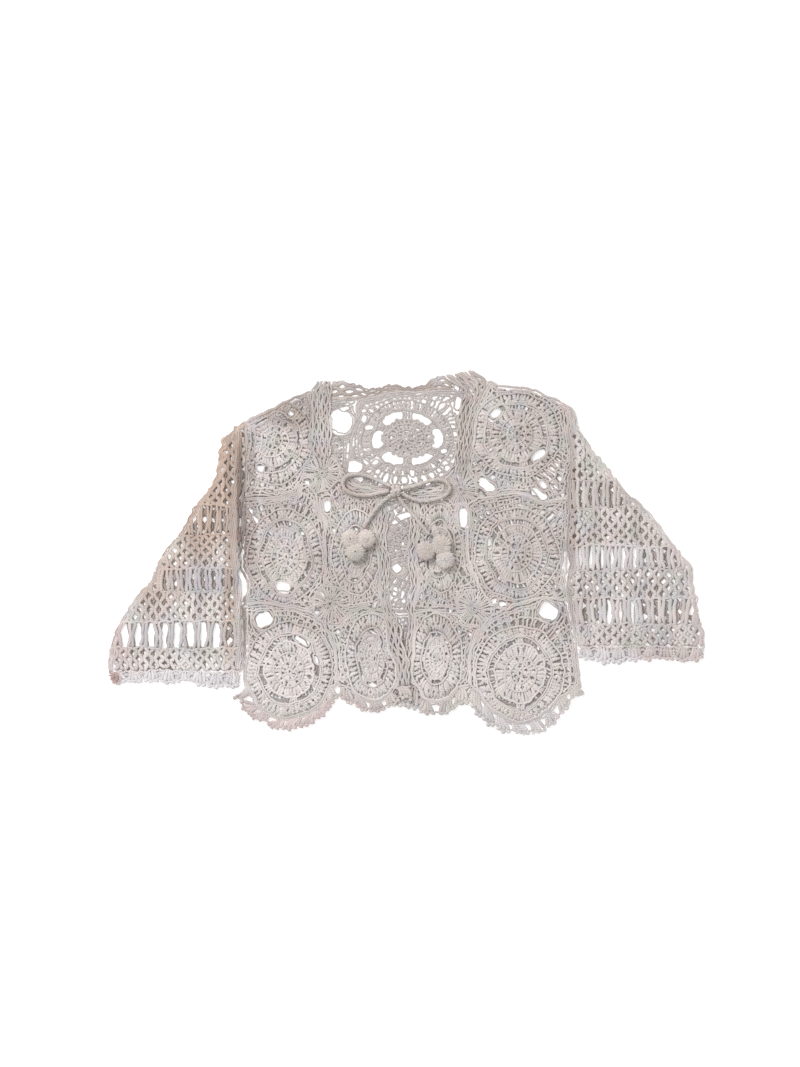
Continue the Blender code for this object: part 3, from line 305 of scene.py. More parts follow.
# Yarn: half-sizes of a strand across and up, in mm
YARN = 1.15
STRAND_HALF_HEIGHT = 0.85


# Lines in the plan

def as_points(line):
    return np.array(line, float)


def lengths_along(points):
    return np.concatenate([[0.0], np.cumsum(np.linalg.norm(np.diff(points, axis=0), axis=1))])


def resample(line, count):
    """The line as evenly spaced points."""
    points = as_points(line)
    along = lengths_along(points)
    wanted = np.linspace(0.0, along[-1], count)
    return np.stack([np.interp(wanted, along, points[:, k]) for k in range(points.shape[1])], axis=1)


def length_of(line):
    return lengths_along(as_points(line))[-1]


def unit(vectors):
    """The vectors made 1 long."""
    return vectors / np.maximum(np.linalg.norm(vectors, axis=1), 1e-9)[:, None]


def turning(degrees):
    """Matrix that turns row vectors of the plan to the left by this much."""
    angle = math.radians(degrees)
    return np.array([[math.cos(angle), math.sin(angle)], [-math.sin(angle), math.cos(angle)]])


def shifted(points, distance):
    """An open line moved to its left by a distance."""
    points = as_points(points)
    ways = unit(np.diff(points, axis=0))
    before = np.concatenate([ways[:1], ways])
    after = np.concatenate([ways, ways[-1:]])
    stretch = np.maximum(0.4, 1.0 + (before * after).sum(axis=1))
    turned = np.stack([-(before + after)[:, 1], (before + after)[:, 0]], axis=1)
    return points + distance * turned / stretch[:, None]


def distance_to_line(points, line):
    """Shortest distance from each point to an open line."""
    best = np.full(len(points), np.inf)
    line = as_points(line)
    for a, b in zip(line, line[1:]):
        way = b - a
        along = np.clip(((points - a) @ way) / (way @ way), 0.0, 1.0)
        near = a + along[:, None] * way
        best = np.minimum(best, np.linalg.norm(points - near, axis=1))
    return best


def inside(points, loop):
    """Which points lie inside a closed loop."""
    loop = as_points(loop)
    found = np.zeros(len(points), bool)
    x, y = points[:, 0], points[:, 1]
    for (x1, y1), (x2, y2) in zip(loop, np.roll(loop, -1, axis=0)):
        if y1 == y2:
            continue
        crosses = ((y1 > y) != (y2 > y)) & (x < x1 + (y - y1) * (x2 - x1) / (y2 - y1))
        found ^= crosses
    return found


def area_of(loop):
    loop = as_points(loop)
    after = np.roll(loop, -1, axis=0)
    return abs(0.5 * (loop[:, 0] * after[:, 1] - after[:, 0] * loop[:, 1]).sum())


def smooth_step(low, high, value):
    share = np.clip((value - low) / (high - low), 0.0, 1.0)
    return share * share * (3.0 - 2.0 * share)


def around(x, y, across, along, angles):
    """Points round a centre at these angles, in radians."""
    return np.stack([x + across * np.cos(angles), y + along * np.sin(angles)], axis=-1)


# Heights of the layers

FOLD_LINES = (
    PEAK_LEFT[1:] + SHOULDER_LEFT + SLEEVE_LEFT + ((-376, -172),),
    ARMHOLE_LEFT[-1:] + SIDE_LEFT + ((-213, -181),),
    ARMHOLE_LEFT[-1:] + INNER_SLEEVE_LEFT + ((-208, -175),),
    PEAK_RIGHT[1:] + SHOULDER_RIGHT + SLEEVE_RIGHT + ((376, -142),),
    ARMHOLE_RIGHT[-1:] + SIDE_RIGHT + ((226, -178),),
    ARMHOLE_RIGHT[-1:] + INNER_SLEEVE_RIGHT + ((219, -134),),
)
ARMHOLE_LINES = {
    "left": SHOULDER_LEFT[-1:] + ARMHOLE_LEFT + INNER_SLEEVE_LEFT,
    "right": SHOULDER_RIGHT[-1:] + ARMHOLE_RIGHT + INNER_SLEEVE_RIGHT,
}


def back_floor(points):
    return np.zeros(len(points))


def front_floor(points):
    """Underside of the front layer: on the back, and turned down in a quarter round at a folded edge."""
    nearest = np.min([distance_to_line(points, line) for line in FOLD_LINES], axis=0)
    short = np.maximum(0.0, 1.0 - nearest / FOLD)
    return FOLD_LIFT + (FRONT_Z - FOLD_LIFT) * np.sqrt(1.0 - short * short)


def left_strip_floor(points):
    """The left strip starts at its block's level, and its outer half lies on the right strip."""
    from_seam = distance_to_line(points, OPENING_LEFT_IN)
    from_edge = distance_to_line(points, OPENING_LEFT_OUT)
    share = np.minimum(1.0, 2.0 * from_seam / (from_seam + from_edge + 1e-9))
    return front_floor(points) + share * CLIMB * smooth_step(-CLIMB_FROM, -CLIMB_TO, -points[:, 1])


def left_hem_floor(points):
    return front_floor(points) + CLIMB * smooth_step(HEM_CLIMB_FROM, HEM_CLIMB_TO, points[:, 0])


def sleeve_floor(side):
    """The front layer of a sleeve, with the roll that stands beside the armhole."""
    line = ARMHOLE_LINES[side]
    low = CUFF_TOPS[side]

    def floor(points):
        from_edge = distance_to_line(points, line)
        share = np.minimum(1.0, (from_edge + RIDGE_START) / (RIDGE_END + RIDGE_START))
        roll = RIDGE * np.sin(math.pi * share)
        return front_floor(points) + roll * smooth_step(low - 20, low + 60, points[:, 1])

    return floor


FLOORS = {
    "hem_left": left_hem_floor,
    "opening_left": left_strip_floor,
    "sleeve_left_front": sleeve_floor("left"),
    "sleeve_right_front": sleeve_floor("right"),
}


def floor_of(name):
    """The underside of a piece: its own, or that of its layer."""
    return FLOORS.get(name, back_floor if "back" in name else front_floor)


# Unevenness of handwork: the whole plan is warped a little by a few smooth waves

WAVES = 14
wave_dice = np.random.default_rng(SEED)
WAVE_LENGTHS = np.concatenate([wave_dice.uniform(34, 70, WAVES // 2), wave_dice.uniform(9, 18, WAVES // 2)])
WAVE_ANGLES = wave_dice.uniform(0, 2 * math.pi, WAVES)
WAVE_PHASES = wave_dice.uniform(0, 2 * math.pi, (2, WAVES))
WAVE_HEIGHTS = np.concatenate([np.full(WAVES // 2, 0.55), np.full(WAVES // 2, 0.24)])
HAND_WOBBLE = 0.16
THICKNESS_SPREAD = 0.12
LIFT_SPREAD = 0.15
FLOOR_CLEARANCE = 0.05


def uneven(points, layer):
    """Points moved by a smooth uneven field, another one for each layer."""
    ways = np.stack([np.cos(WAVE_ANGLES + layer), np.sin(WAVE_ANGLES + layer)])
    phase = 2 * math.pi * (points @ ways) / WAVE_LENGTHS
    moved = points.copy()
    for k in range(2):
        moved[:, k] += (np.sin(phase + WAVE_PHASES[k] + 2 * layer) * WAVE_HEIGHTS).sum(axis=1)
    return moved


class Piece:
    """Strands of yarn that make one piece, gathered in the plan and then swept into one mesh."""

    def __init__(self, name, sides, seed, gaps=()):
        self.name = name
        self.layer = 0.0 if "back" in name else 1.0
        self.sides = sides
        self.gaps = [gap_of(*gap) for gap in gaps]
        self.dice = np.random.default_rng([SEED, seed])
        self.paths = []

    def add(
        self, points, half_width=YARN, lift=0.0, height=STRAND_HALF_HEIGHT, closed=False, clip=None,
        keep=None, keep_gaps=True,
    ):
        """A strand through these plan points. Lift is its middle above the middle of the wall."""
        points = as_points(points)
        count = len(points)
        sizes = [np.broadcast_to(np.asarray(size, float), (count,)) for size in (half_width, lift, height)]
        kept = np.ones(count, bool) if keep is None else np.array(keep, bool)
        self.paths.append((points, *sizes, closed, clip, kept, keep_gaps))

    def swept(self):
        """Plan points of all the strands, warped, set round the gaps and clipped."""
        strands = []
        for plan, half_width, lift, height, closed, clip, kept, keep_gaps in self.paths:
            plan = uneven(plan, self.layer) + self.dice.normal(0.0, HAND_WOBBLE, plan.shape)
            half_width = half_width * (1 + self.dice.uniform(-THICKNESS_SPREAD, THICKNESS_SPREAD, len(plan)))
            lift = lift + self.dice.uniform(-LIFT_SPREAD, LIFT_SPREAD, len(plan))
            if keep_gaps:
                for gap in self.gaps:
                    plan, free = gap(plan)
                    kept &= free
            if clip is not None:
                kept &= inside(plan, clip)
            if kept.all():
                strands.append((plan, half_width, lift, height, closed))
                continue
            for run in runs_of(kept, closed):
                if len(run) > 1:
                    strands.append((plan[run], half_width[run], lift[run], height[run], False))
        return strands

    def build(self, material):
        strands = self.swept()
        *columns, closed = zip(*strands)
        plan, half_width, lift, height = (np.concatenate(column) for column in columns)
        counts = np.array([len(points) for points in columns[0]])
        z = floor_of(self.name)(plan) + WALL / 2 + lift
        centres = np.column_stack([plan, np.maximum(z, height + FLOOR_CLEARANCE)])
        closed = np.array(closed)
        return sweep(self.name, centres, half_width, height, counts, closed, self.sides, material, self.dice)


def runs_of(kept, closed):
    """Index runs of the kept points, joined round the end where the line is closed."""
    index = np.flatnonzero(kept)
    if not len(index):
        return []
    runs = np.split(index, np.flatnonzero(np.diff(index) > 1) + 1)
    if closed and len(runs) > 1 and kept[0] and kept[-1]:
        runs[0] = np.concatenate([runs.pop(), runs[0]])
    return runs


GAP_CLEARANCE = 2.5  # room for the strand that is set round a gap
GAP_REACH = 1.7  # how far out strands make way, in half-sizes of the gap
GAP_CORE = 0.45  # how far in a strand is cut off rather than moved


def gap_of(x, y, half_length, half_width, turn):
    """A function that sets strands round a squarish oval gap in the net, and tells which points stay."""
    turned = turning(turn)
    halves = np.array([half_length, half_width]) + GAP_CLEARANCE

    def warp(plan):
        local = ((plan - (x, y)) @ turned.T) / halves
        far = (np.abs(local) ** 3).sum(axis=1) ** (1 / 3)
        pushed = 1.0 + (GAP_REACH - 1.0) * (far / GAP_REACH) ** 2
        new = np.where(far < GAP_REACH, pushed, far)
        scaled = local * (new / np.maximum(far, 1e-6))[:, None]
        return (scaled * halves) @ turned + (x, y), far > GAP_CORE

    return warp


def linked(name, data):
    """A new object of this data, in the scene."""
    obj = bpy.data.objects.new(name, data)
    bpy.context.scene.collection.objects.link(obj)
    return obj


END_TAPER = 0.55  # size of a strand's ends, as a share of its own


def sweep(name, centres, half_width, height, counts, closed, sides, material, dice, frames=None):
    """Tubes of oval section round the strands' centres, as one object named after its yarn.

    Frames are the sections' side vectors, level if they aren't given.
    """
    total = len(centres)
    starts = np.concatenate([[0], np.cumsum(counts)[:-1]])
    ends = starts + counts - 1
    open_starts, open_ends = starts[~closed], ends[~closed]
    after = np.arange(total) + 1
    after[ends] = np.where(closed, starts, ends)
    before = np.arange(total) - 1
    before[starts] = np.where(closed, ends, starts)
    tangent = unit(centres[after] - centres[before])
    if frames is None:
        side = np.column_stack([-tangent[:, 1], tangent[:, 0], np.zeros(total)])
        flat = np.linalg.norm(side, axis=1)
        frames = np.where(flat[:, None] > 0.05, side / np.maximum(flat, 1e-9)[:, None], (1.0, 0.0, 0.0))
    up = np.cross(tangent, frames)

    taper = np.ones(total)
    taper[open_starts] = END_TAPER
    taper[open_ends] = END_TAPER
    angles = 2 * math.pi * (np.arange(sides) + 0.5) / sides - math.pi / 2
    points = (
        centres[:, None, :]
        + (half_width * taper)[:, None, None] * np.cos(angles)[None, :, None] * frames[:, None, :]
        + (height * taper)[:, None, None] * np.sin(angles)[None, :, None] * up[:, None, :]
    )
    vertices = points.reshape(-1, 3) * MM + TO_ROW

    has_next = np.ones(total, bool)
    has_next[open_ends] = False
    here = np.flatnonzero(has_next)
    there = after[here][:, None] * sides
    here = here[:, None] * sides
    k = np.arange(sides)
    next_k = (k + 1) % sides
    quads = np.stack([here + k, here + next_k, there + next_k, there + k], axis=2).reshape(-1, 4)
    first_caps = open_starts[:, None] * sides + k[::-1]
    last_caps = open_ends[:, None] * sides + k

    mesh = bpy.data.meshes.new(f"yarn_{name}")
    loops = np.concatenate([quads.ravel(), first_caps.ravel(), last_caps.ravel()])
    sizes = np.concatenate([np.full(len(quads), 4), np.full(2 * len(open_ends), sides)])
    mesh.vertices.add(len(vertices))
    mesh.vertices.foreach_set("co", vertices.astype(np.float32).ravel())
    mesh.loops.add(len(loops))
    mesh.loops.foreach_set("vertex_index", loops.astype(np.int32))
    mesh.polygons.add(len(sizes))
    mesh.polygons.foreach_set("loop_start", np.concatenate([[0], np.cumsum(sizes)[:-1]]).astype(np.int32))
    mesh.polygons.foreach_set("loop_total", sizes.astype(np.int32))
    mesh.polygons.foreach_set("use_smooth", np.ones(len(sizes), bool))
    mesh.update(calc_edges=True)

    steps = np.linalg.norm(centres - centres[before], axis=1)
    steps[starts] = 0.0
    along = np.cumsum(steps)
    along -= np.repeat(along[starts], counts)
    shade = np.repeat(dice.uniform(0.0, 1.0, len(counts)), counts)
    attributes = {
        "along": np.repeat(along, sides),
        "strand": np.repeat(shade, sides),
        "around": np.tile(angles, total),
    }
    for attribute, values in attributes.items():
        data = mesh.attributes.new(attribute, "FLOAT", "POINT")
        data.data.foreach_set("value", values.astype(np.float32))
    mesh.materials.append(MATERIALS[material])
    return linked(f"yarn_{name}", mesh)


def transported(centres):
    """Side vectors that turn as little as they can along a line in space."""
    tangent = unit(np.gradient(centres, axis=0))
    start = np.cross(tangent[0], (0.0, 0.0, 1.0))
    if np.linalg.norm(start) < 0.1:
        start = np.array([1.0, 0.0, 0.0])
    sides = [start / np.linalg.norm(start)]
    for way in tangent[1:]:
        side = sides[-1] - way * (sides[-1] @ way)
        sides.append(side / np.linalg.norm(side))
    return np.array(sides)


ROUND_SIDES = 7


def strands_in_space(name, strands, material, seed):
    """Round strands as one object, each given by its line in space and its radius."""
    counts = np.array([len(line) for line, _ in strands])
    centres = np.concatenate([line for line, _ in strands])
    frames = np.concatenate([transported(line) for line, _ in strands])
    radius = np.concatenate([np.broadcast_to(np.asarray(r, float), (len(line),)) for line, r in strands])
    closed = np.zeros(len(strands), bool)
    dice = np.random.default_rng([SEED, seed])
    return sweep(name, centres, radius, radius, counts, closed, ROUND_SIDES, material, dice, frames)


# Round medallions

RING_SAMPLES = 360
RING_TO_EDGE, FLOWER_TO_EDGE = 1.5, 7.0  # least room outside the ring's outer and inner edges


class Rings:
    """A block in rounds.

    0 is the centre, 1 the flower's edge, 2 and 3 the dense ring's edges, and 4 the block's edge.
    """

    def __init__(self, medallion, outline):
        x, y, in_across, in_along, out_across, out_along, turn = medallion
        self.centre = np.array([x, y], float)
        self.turn = turn / 360
        angles = 2 * math.pi * np.arange(RING_SAMPLES) / RING_SAMPLES
        ways = around(0, 0, 1, 1, angles)
        inner = ways * (in_across, in_along)
        outer = ways * (out_across, out_along)
        far = np.linalg.norm(outer, axis=1)
        reach = self.reach(outer / far[:, None], outline) - YARN
        outer *= np.minimum(1.0, (reach - RING_TO_EDGE) / far)[:, None]
        inner *= np.minimum(1.0, (reach - FLOWER_TO_EDGE) / np.linalg.norm(inner, axis=1))[:, None]
        far = np.linalg.norm(outer, axis=1)
        edge = outer / far[:, None] * reach[:, None]
        self.curves = np.stack([0 * inner, FLOWER_SHARE * inner, inner, outer, edge])
        self.room = reach - far

    def reach(self, ways, outline):
        """How far the outline is along each way from the centre."""
        loop = as_points(outline) - self.centre
        best = np.zeros(len(ways))
        for a, b in zip(loop, np.roll(loop, -1, axis=0)):
            side = b - a
            cross = ways[:, 0] * side[1] - ways[:, 1] * side[0]
            safe = np.where(np.abs(cross) < 1e-9, 1.0, cross)
            along = (a[0] * side[1] - a[1] * side[0]) / safe
            share = (a[0] * ways[:, 1] - a[1] * ways[:, 0]) / safe
            hit = (np.abs(cross) > 1e-9) & (share >= 0) & (share <= 1) & (along > 0)
            best = np.where(hit, np.maximum(best, along), best)
        return best

    def sampled(self, values, turns):
        place = (np.asarray(turns) % 1.0) * RING_SAMPLES
        low = np.floor(place).astype(int) % RING_SAMPLES
        share = place - np.floor(place)
        if values.ndim == 2:
            share = share[:, None]
        return values[low] * (1 - share) + values[(low + 1) % RING_SAMPLES] * share

    def at(self, turns, rounds):
        """Plan points at these turns, 0 to 1, and rounds."""
        turns = np.atleast_1d(np.asarray(turns, float))
        rounds = np.broadcast_to(np.asarray(rounds, float), turns.shape)
        ring = np.clip(np.floor(rounds).astype(int), 0, 3)
        share = (rounds - ring)[:, None]
        points = np.empty((len(turns), 2))
        for k in range(4):
            here = ring == k
            if here.any():
                low = self.sampled(self.curves[k], turns[here])
                high = self.sampled(self.curves[k + 1], turns[here])
                points[here] = low * (1 - share[here]) + high * share[here]
        return self.centre + points

    def girth(self, round_):
        loop = self.at(np.arange(90) / 90, round_)
        return np.linalg.norm(loop - np.roll(loop, -1, axis=0), axis=1).sum()


def round_line(
    piece, rings, round_, half_width, lift, scallops=0, depth=0.0, step=2.4, room=0.0,
    height=STRAND_HALF_HEIGHT,
):
    """A closed strand round the medallion, scalloped if asked, kept where the net has the room."""
    count = max(14, round(rings.girth(round_) / step), 5 * scallops)
    turns = np.arange(count) / count
    wave = np.abs(np.sin(math.pi * scallops * turns))
    keep = rings.sampled(rings.room, turns) >= room
    piece.add(rings.at(turns, round_ + depth * wave), half_width, lift, height, closed=True, keep=keep)


def posts(
    piece, rings, first, last, pitch, bow, wide, slim, lift=0.0, arch=0.25, room=0.0, most=1000.0, points=5,
    jitter=0.1,
):
    """Tall stitches between two rounds, where the room is. Each pair bows apart, which leaves a gap."""
    count = 2 * max(3, round(rings.girth((first + last) / 2) / pitch / 2))
    v = np.linspace(0.0, 1.0, points)
    swell = np.sin(math.pi * v) ** 1.5
    for k in range(count):
        turn = rings.turn + (k + 0.5 + piece.dice.uniform(-jitter, jitter)) / count
        if not room <= rings.sampled(rings.room, [turn])[0] < most:
            continue
        sway = (bow if k % 2 else -bow) / count
        line = rings.at(turn + sway * swell, first + (last - first) * v)
        piece.add(line, wide + (slim - wide) * swell, lift + arch * swell)


def dotted_posts(piece, rings, first, last, pitch, dotted, wide, bow, lift, dot, snug=0.6):
    """Tall stitches side by side. Some pairs part for a short way, which leaves a small dot.

    Dotted is the share of pairs that part, dot half a dot's length and snug a strand's share of its room.
    """
    pairs = max(3, round(rings.girth((first + last) / 2) / pitch / 2))
    swell = np.array([0.0, 0.0, 0.8, 1.0, 0.8, 0.0, 0.0])
    for pair in range(pairs):
        middle = piece.dice.uniform(0.32, 0.68)
        v = np.array([0.0, *(middle + dot * np.array([-1.0, -0.5, 0.0, 0.5, 1.0])), 1.0])
        share = 1.0 if piece.dice.uniform() < dotted else 0.2
        for side in (-1, 1):
            turn = rings.turn + (2 * pair + 1 + side / 2 + piece.dice.uniform(-0.08, 0.08)) / (2 * pairs)
            turns, rounds = turn + side * bow * share / (2 * pairs) * swell, first + (last - first) * v
            line = rings.at(turns, rounds)
            room = np.linalg.norm(rings.at(turns + 1 / (2 * pairs), rounds) - line, axis=1)
            half_width = np.clip(snug * room, 0.8, wide) * (1 - 0.3 * share * swell)
            piece.add(line, half_width, lift + piece.dice.uniform(-0.15, 0.15), 0.8)


# The flower's rows. Columns: round, half-width and lift of the rope inside the row, the scallops that it has
# in a plain flower, first and last round of the stitches, pitch, share that part, half-width, lift, dot, and
# how much of the flower's spill they take up
FLOWER_ROWS = (
    (0.1, 1.7, 0.5, 0, 0.12, 0.4, 4.1, 0.7, 2.1, 0.3, 0.25, 0),
    (0.4, 1.4, 0.75, 0, 0.36, 0.7, 4.4, 0.7, 2.4, 0.3, 0.22, 0),
    (0.68, 1.4, 0.75, 14, 0.64, 0.95, 4.6, 0.5, 2.5, 0.2, 0.2, 1),
)
FLOWER_BOW = 0.3
FLOWER_SPILL = 0.4  # how far the front flowers grow into their crescent gaps


def flower(piece, rings, fine, spill):
    """The dense flower in the middle: bumpy rounds with small dots and a scalloped edge."""
    for round_, rope, raised, scallops, first, last, pitch, dotted, wide, lift, dot, spilt in FLOWER_ROWS:
        round_line(piece, rings, round_, rope, raised, 0 if fine else scallops, depth=0.08)
        dotted_posts(piece, rings, first, last + spilt * spill, pitch, dotted, wide, FLOWER_BOW, lift, dot)
    round_line(piece, rings, 0.86 + spill, 1.5, 0.6, scallops=24 if fine else 18, depth=0.1, step=2.0)


def flower_backing(piece, rings):
    """Flat strands that close the dots of a flower in the back, where no floor shows through them."""
    for round_ in (0.2, 0.45, 0.7):
        round_line(piece, rings, round_, 3.0, -0.6, step=3.5, height=0.28)


JOIN_OFFSETS = (-0.026, -0.0087, 0.0087, 0.026)


def joins(piece, rings, spill):
    """Six short bundles that hold the flower in the ring, between the crescent gaps."""
    v = np.linspace(0.0, 1.0, 4)
    for k in range(6):
        middle = rings.turn + (k + 0.5) / 6
        for offset in JOIN_OFFSETS:
            turns = middle + offset * (1.0 - 0.35 * np.sin(math.pi * v))
            piece.add(rings.at(turns, 0.9 + spill + (1.15 - spill) * v), 1.55, 0.1)


LARGE_GIRTH = 270.0

# Stitches of the dense ring. Columns: share that part, half-width, bow, dot, share of the room that they fill
RING_STITCHES = {
    "fine": (0.8, 2.6, 0.34, 0.15, 0.59),
    "large": (0.55, 3.3, 0.38, 0.13, 0.68),
    "plain": (0.5, 2.8, 0.32, 0.12, 0.59),
}


def dense_ring(piece, rings, fine, relief):
    """The ring: ropes at both edges and tall stitches with a row of small dots between them."""
    round_line(piece, rings, 2.09, 1.3, 0.8 * relief)
    is_large = rings.girth(2.5) > LARGE_GIRTH
    if is_large:
        round_line(piece, rings, 2.24, 1.05, 0.55 * relief)
    kind = "fine" if fine else "large" if is_large else "plain"
    dotted, wide, bow, dot, snug = RING_STITCHES[kind]
    dotted_posts(piece, rings, 2.14, 2.92, 4.6, dotted, wide, bow, 0.15, dot, snug)
    round_line(piece, rings, 2.99, 1.35, 0.8 * relief)


LOOP_PITCH = 9.5


def net(piece, rings, fine):
    """The open ground round the ring: ladders, loops and ropes, fewer where it is narrow."""
    pitch, bow = (5.4, 0.2) if fine else (4.9, 0.12)
    posts(piece, rings, 3.0, 4.0, 1.6 * pitch, bow, 1.6, 1.3, arch=0.2, most=6.5, points=4, jitter=0.2)
    posts(piece, rings, 3.0, 3.36, pitch, bow, 1.9, 1.35, 0.1, arch=0.3, room=6.5, jitter=0.2)
    loops = max(8, round(rings.girth(3.45) / LOOP_PITCH))
    round_line(piece, rings, 3.34, 1.3, 0.5, scallops=loops, depth=0.08, step=2.2, room=4.5)
    posts(piece, rings, 3.36, 3.68, pitch, bow, 1.8, 1.3, arch=0.3, room=12.0, jitter=0.25)
    round_line(piece, rings, 3.64, 1.3, 0.45, scallops=loops + 3, depth=0.07, step=2.2, room=9.0)
    posts(piece, rings, 3.66, 3.92, pitch, bow, 1.7, 1.3, arch=0.3, room=19.0, points=4, jitter=0.25)
    round_line(piece, rings, 3.84, 1.3, 0.3, room=13.0)
    round_line(piece, rings, 4.0, 1.5, 0.2)


def star_corners(name, first, last):
    """Corners of a star filler from one number to another, going round either way."""
    x, y = STARS[name]
    step = 1 if last >= first else -1
    angles = [math.radians((k + 0.5) * 360 / STAR_SIDES) for k in range(first, last + step, step)]
    return [(x + STAR_RADIUS * math.cos(a), y + STAR_RADIUS * math.sin(a)) for a in angles]


HEM_STEPS = 15  # points on the inner line of a scallop

# First and last angle of each bottom block's lower edge, in degrees
HEM_ANGLES = {
    "front_left_bottom": (203, 337),
    "front_left_inner_bottom": (222, 318),
    "front_right_inner_bottom": (222, 318),
    "front_right_bottom": (203, 330),
    "back_left_bottom": (212, 328),
    "back_mid_bottom": (214, 326),
    "back_right_bottom": (212, 326),
}


def hem_line(block_name):
    """The lower edge of a bottom block, just outside its ring."""
    x, y, _, _, across, along, _ = MEDALLIONS[block_name]
    angles = np.radians(np.linspace(*HEM_ANGLES[block_name], HEM_STEPS))
    return around(x, y, across + HEM_CLEARANCE, along + HEM_CLEARANCE, angles)


def block_outlines():
    """Outlines of all the motif blocks, as the solids have them."""
    shoulder_left, side_left = shifted(SHOULDER_LEFT, BACK_INSET), shifted(SIDE_LEFT, BACK_INSET)
    shoulder_right, side_right = shifted(SHOULDER_RIGHT, -BACK_INSET), shifted(SIDE_RIGHT, -BACK_INSET)
    return {
        "front_left_top": [
            *SHOULDER_LEFT, *ARMHOLE_LEFT[:3], *SEAMS["left_row_top"],
            *star_corners("front_star_left_top", 4, 2), *SEAMS["left_band"][::-1],
        ],
        "front_left_mid": [
            *ARMHOLE_LEFT[2:], *SIDE_LEFT[:3], *SEAMS["left_row_low"],
            *star_corners("front_star_left_mid", 4, 2), *SEAMS["left_column_top"][::-1],
            *star_corners("front_star_left_top", 5, 4), *SEAMS["left_row_top"][::-1],
        ],
        "front_left_bottom": [
            *SIDE_LEFT[2:], *hem_line("front_left_bottom"), *SEAMS["left_column_low"][::-1],
            *star_corners("front_star_left_mid", 5, 4), *SEAMS["left_row_low"][::-1],
        ],
        "front_left_inner_mid": [
            *SEAMS["left_column_top"], *star_corners("front_star_left_mid", 2, -1),
            *SEAMS["left_row_inner"], *OPENING_LEFT_IN[:5][::-1], *SEAMS["neck_left"][::-1],
            *star_corners("front_star_left_top", 7, 5),
        ],
        "front_left_inner_bottom": [
            *SEAMS["left_row_inner"], *star_corners("front_star_left_mid", -1, -3),
            *SEAMS["left_column_low"], *hem_line("front_left_inner_bottom"), *OPENING_LEFT_IN[4:][::-1],
        ],
        "front_right_top": [
            *SHOULDER_RIGHT, *ARMHOLE_RIGHT[:4], *SEAMS["right_row_top"],
            *star_corners("front_star_right_top", -1, 1), *SEAMS["right_band"][::-1],
        ],
        "front_right_mid": [
            *ARMHOLE_RIGHT[3:], *SIDE_RIGHT[:3], *SEAMS["right_row_low"],
            *star_corners("front_star_right_mid", -1, 1), *SEAMS["right_column_top"][::-1],
            *star_corners("front_star_right_top", 6, 7), *SEAMS["right_row_top"][::-1],
        ],
        "front_right_bottom": [
            *SIDE_RIGHT[2:], *hem_line("front_right_bottom")[::-1], *SEAMS["right_column_low"][::-1],
            *star_corners("front_star_right_mid", 6, 7), *SEAMS["right_row_low"][::-1],
        ],
        "front_right_inner_mid": [
            *SEAMS["right_column_top"], *star_corners("front_star_right_mid", 1, 4),
            *SEAMS["right_row_inner"], *OPENING_RIGHT_IN[:5][::-1], *SEAMS["neck_right"],
            *star_corners("front_star_right_top", 4, 6),
        ],
        "front_right_inner_bottom": [
            *SEAMS["right_row_inner"], *star_corners("front_star_right_mid", 4, 6),
            *SEAMS["right_column_low"], *hem_line("front_right_inner_bottom")[::-1],
            *OPENING_RIGHT_IN[4:][::-1],
        ],
        "back_left_top": [
            *SEAMS["back_neck"][:1], *BACK_PEAK_LEFT, *shoulder_left, *ARMHOLE_LEFT[:2],
            *SEAMS["back_row_top_left"], *star_corners("back_star_left_top", 4, 2),
            *SEAMS["back_left_column_top"][::-1],
        ],
        "back_left_mid": [
            *ARMHOLE_LEFT[2:5], BACK_UNDERARM_LEFT, *side_left[:3], *SEAMS["back_row_low_left"],
            *star_corners("back_star_left_mid", 4, 2), *SEAMS["back_left_column_mid"][::-1],
            *star_corners("back_star_left_top", 5, 4), *SEAMS["back_row_top_left"][::-1],
        ],
        "back_left_bottom": [
            *side_left[2:], *hem_line("back_left_bottom"), *SEAMS["back_left_column_low"][::-1],
            *star_corners("back_star_left_mid", 5, 4), *SEAMS["back_row_low_left"][::-1],
        ],
        "back_mid_top": [
            *SEAMS["back_neck"][1:], *SEAMS["back_right_column_top"][1:],
            *star_corners("back_star_right_top", 2, 4), *star_corners("back_star_left_top", -1, 2),
            *SEAMS["back_left_column_top"][1:][::-1],
        ],
        "back_mid_mid": [
            *star_corners("back_star_left_top", 7, 5), *SEAMS["back_left_column_mid"],
            *star_corners("back_star_left_mid", 2, -1), *star_corners("back_star_right_mid", 4, 2),
            *SEAMS["back_right_column_mid"][::-1], *star_corners("back_star_right_top", 5, 4),
        ],
        "back_mid_bottom": [
            *star_corners("back_star_left_mid", 7, 5), *SEAMS["back_left_column_low"],
            *hem_line("back_mid_bottom"), *SEAMS["back_right_column_low"][::-1],
            *star_corners("back_star_right_mid", 5, 4),
        ],
        "back_right_top": [
            *SEAMS["back_neck"][-2:][::-1], *BACK_PEAK_RIGHT, *shoulder_right[1:], *ARMHOLE_RIGHT[:4],
            *SEAMS["back_row_top_right"][::-1], *star_corners("back_star_right_top", -1, 2),
            *SEAMS["back_right_column_top"][1:][::-1],
        ],
        "back_right_mid": [
            *SEAMS["back_row_top_right"], *ARMHOLE_RIGHT[4:5], BACK_UNDERARM_RIGHT, *side_right[:3],
            *SEAMS["back_row_low_right"][::-1], *star_corners("back_star_right_mid", -1, 2),
            *SEAMS["back_right_column_mid"][::-1], *star_corners("back_star_right_top", 5, 7),
        ],
        "back_right_bottom": [
            *SEAMS["back_row_low_right"], *side_right[2:], *hem_line("back_right_bottom")[::-1],
            *SEAMS["back_right_column_low"][::-1], *star_corners("back_star_right_mid", 5, 7),
        ],
    }


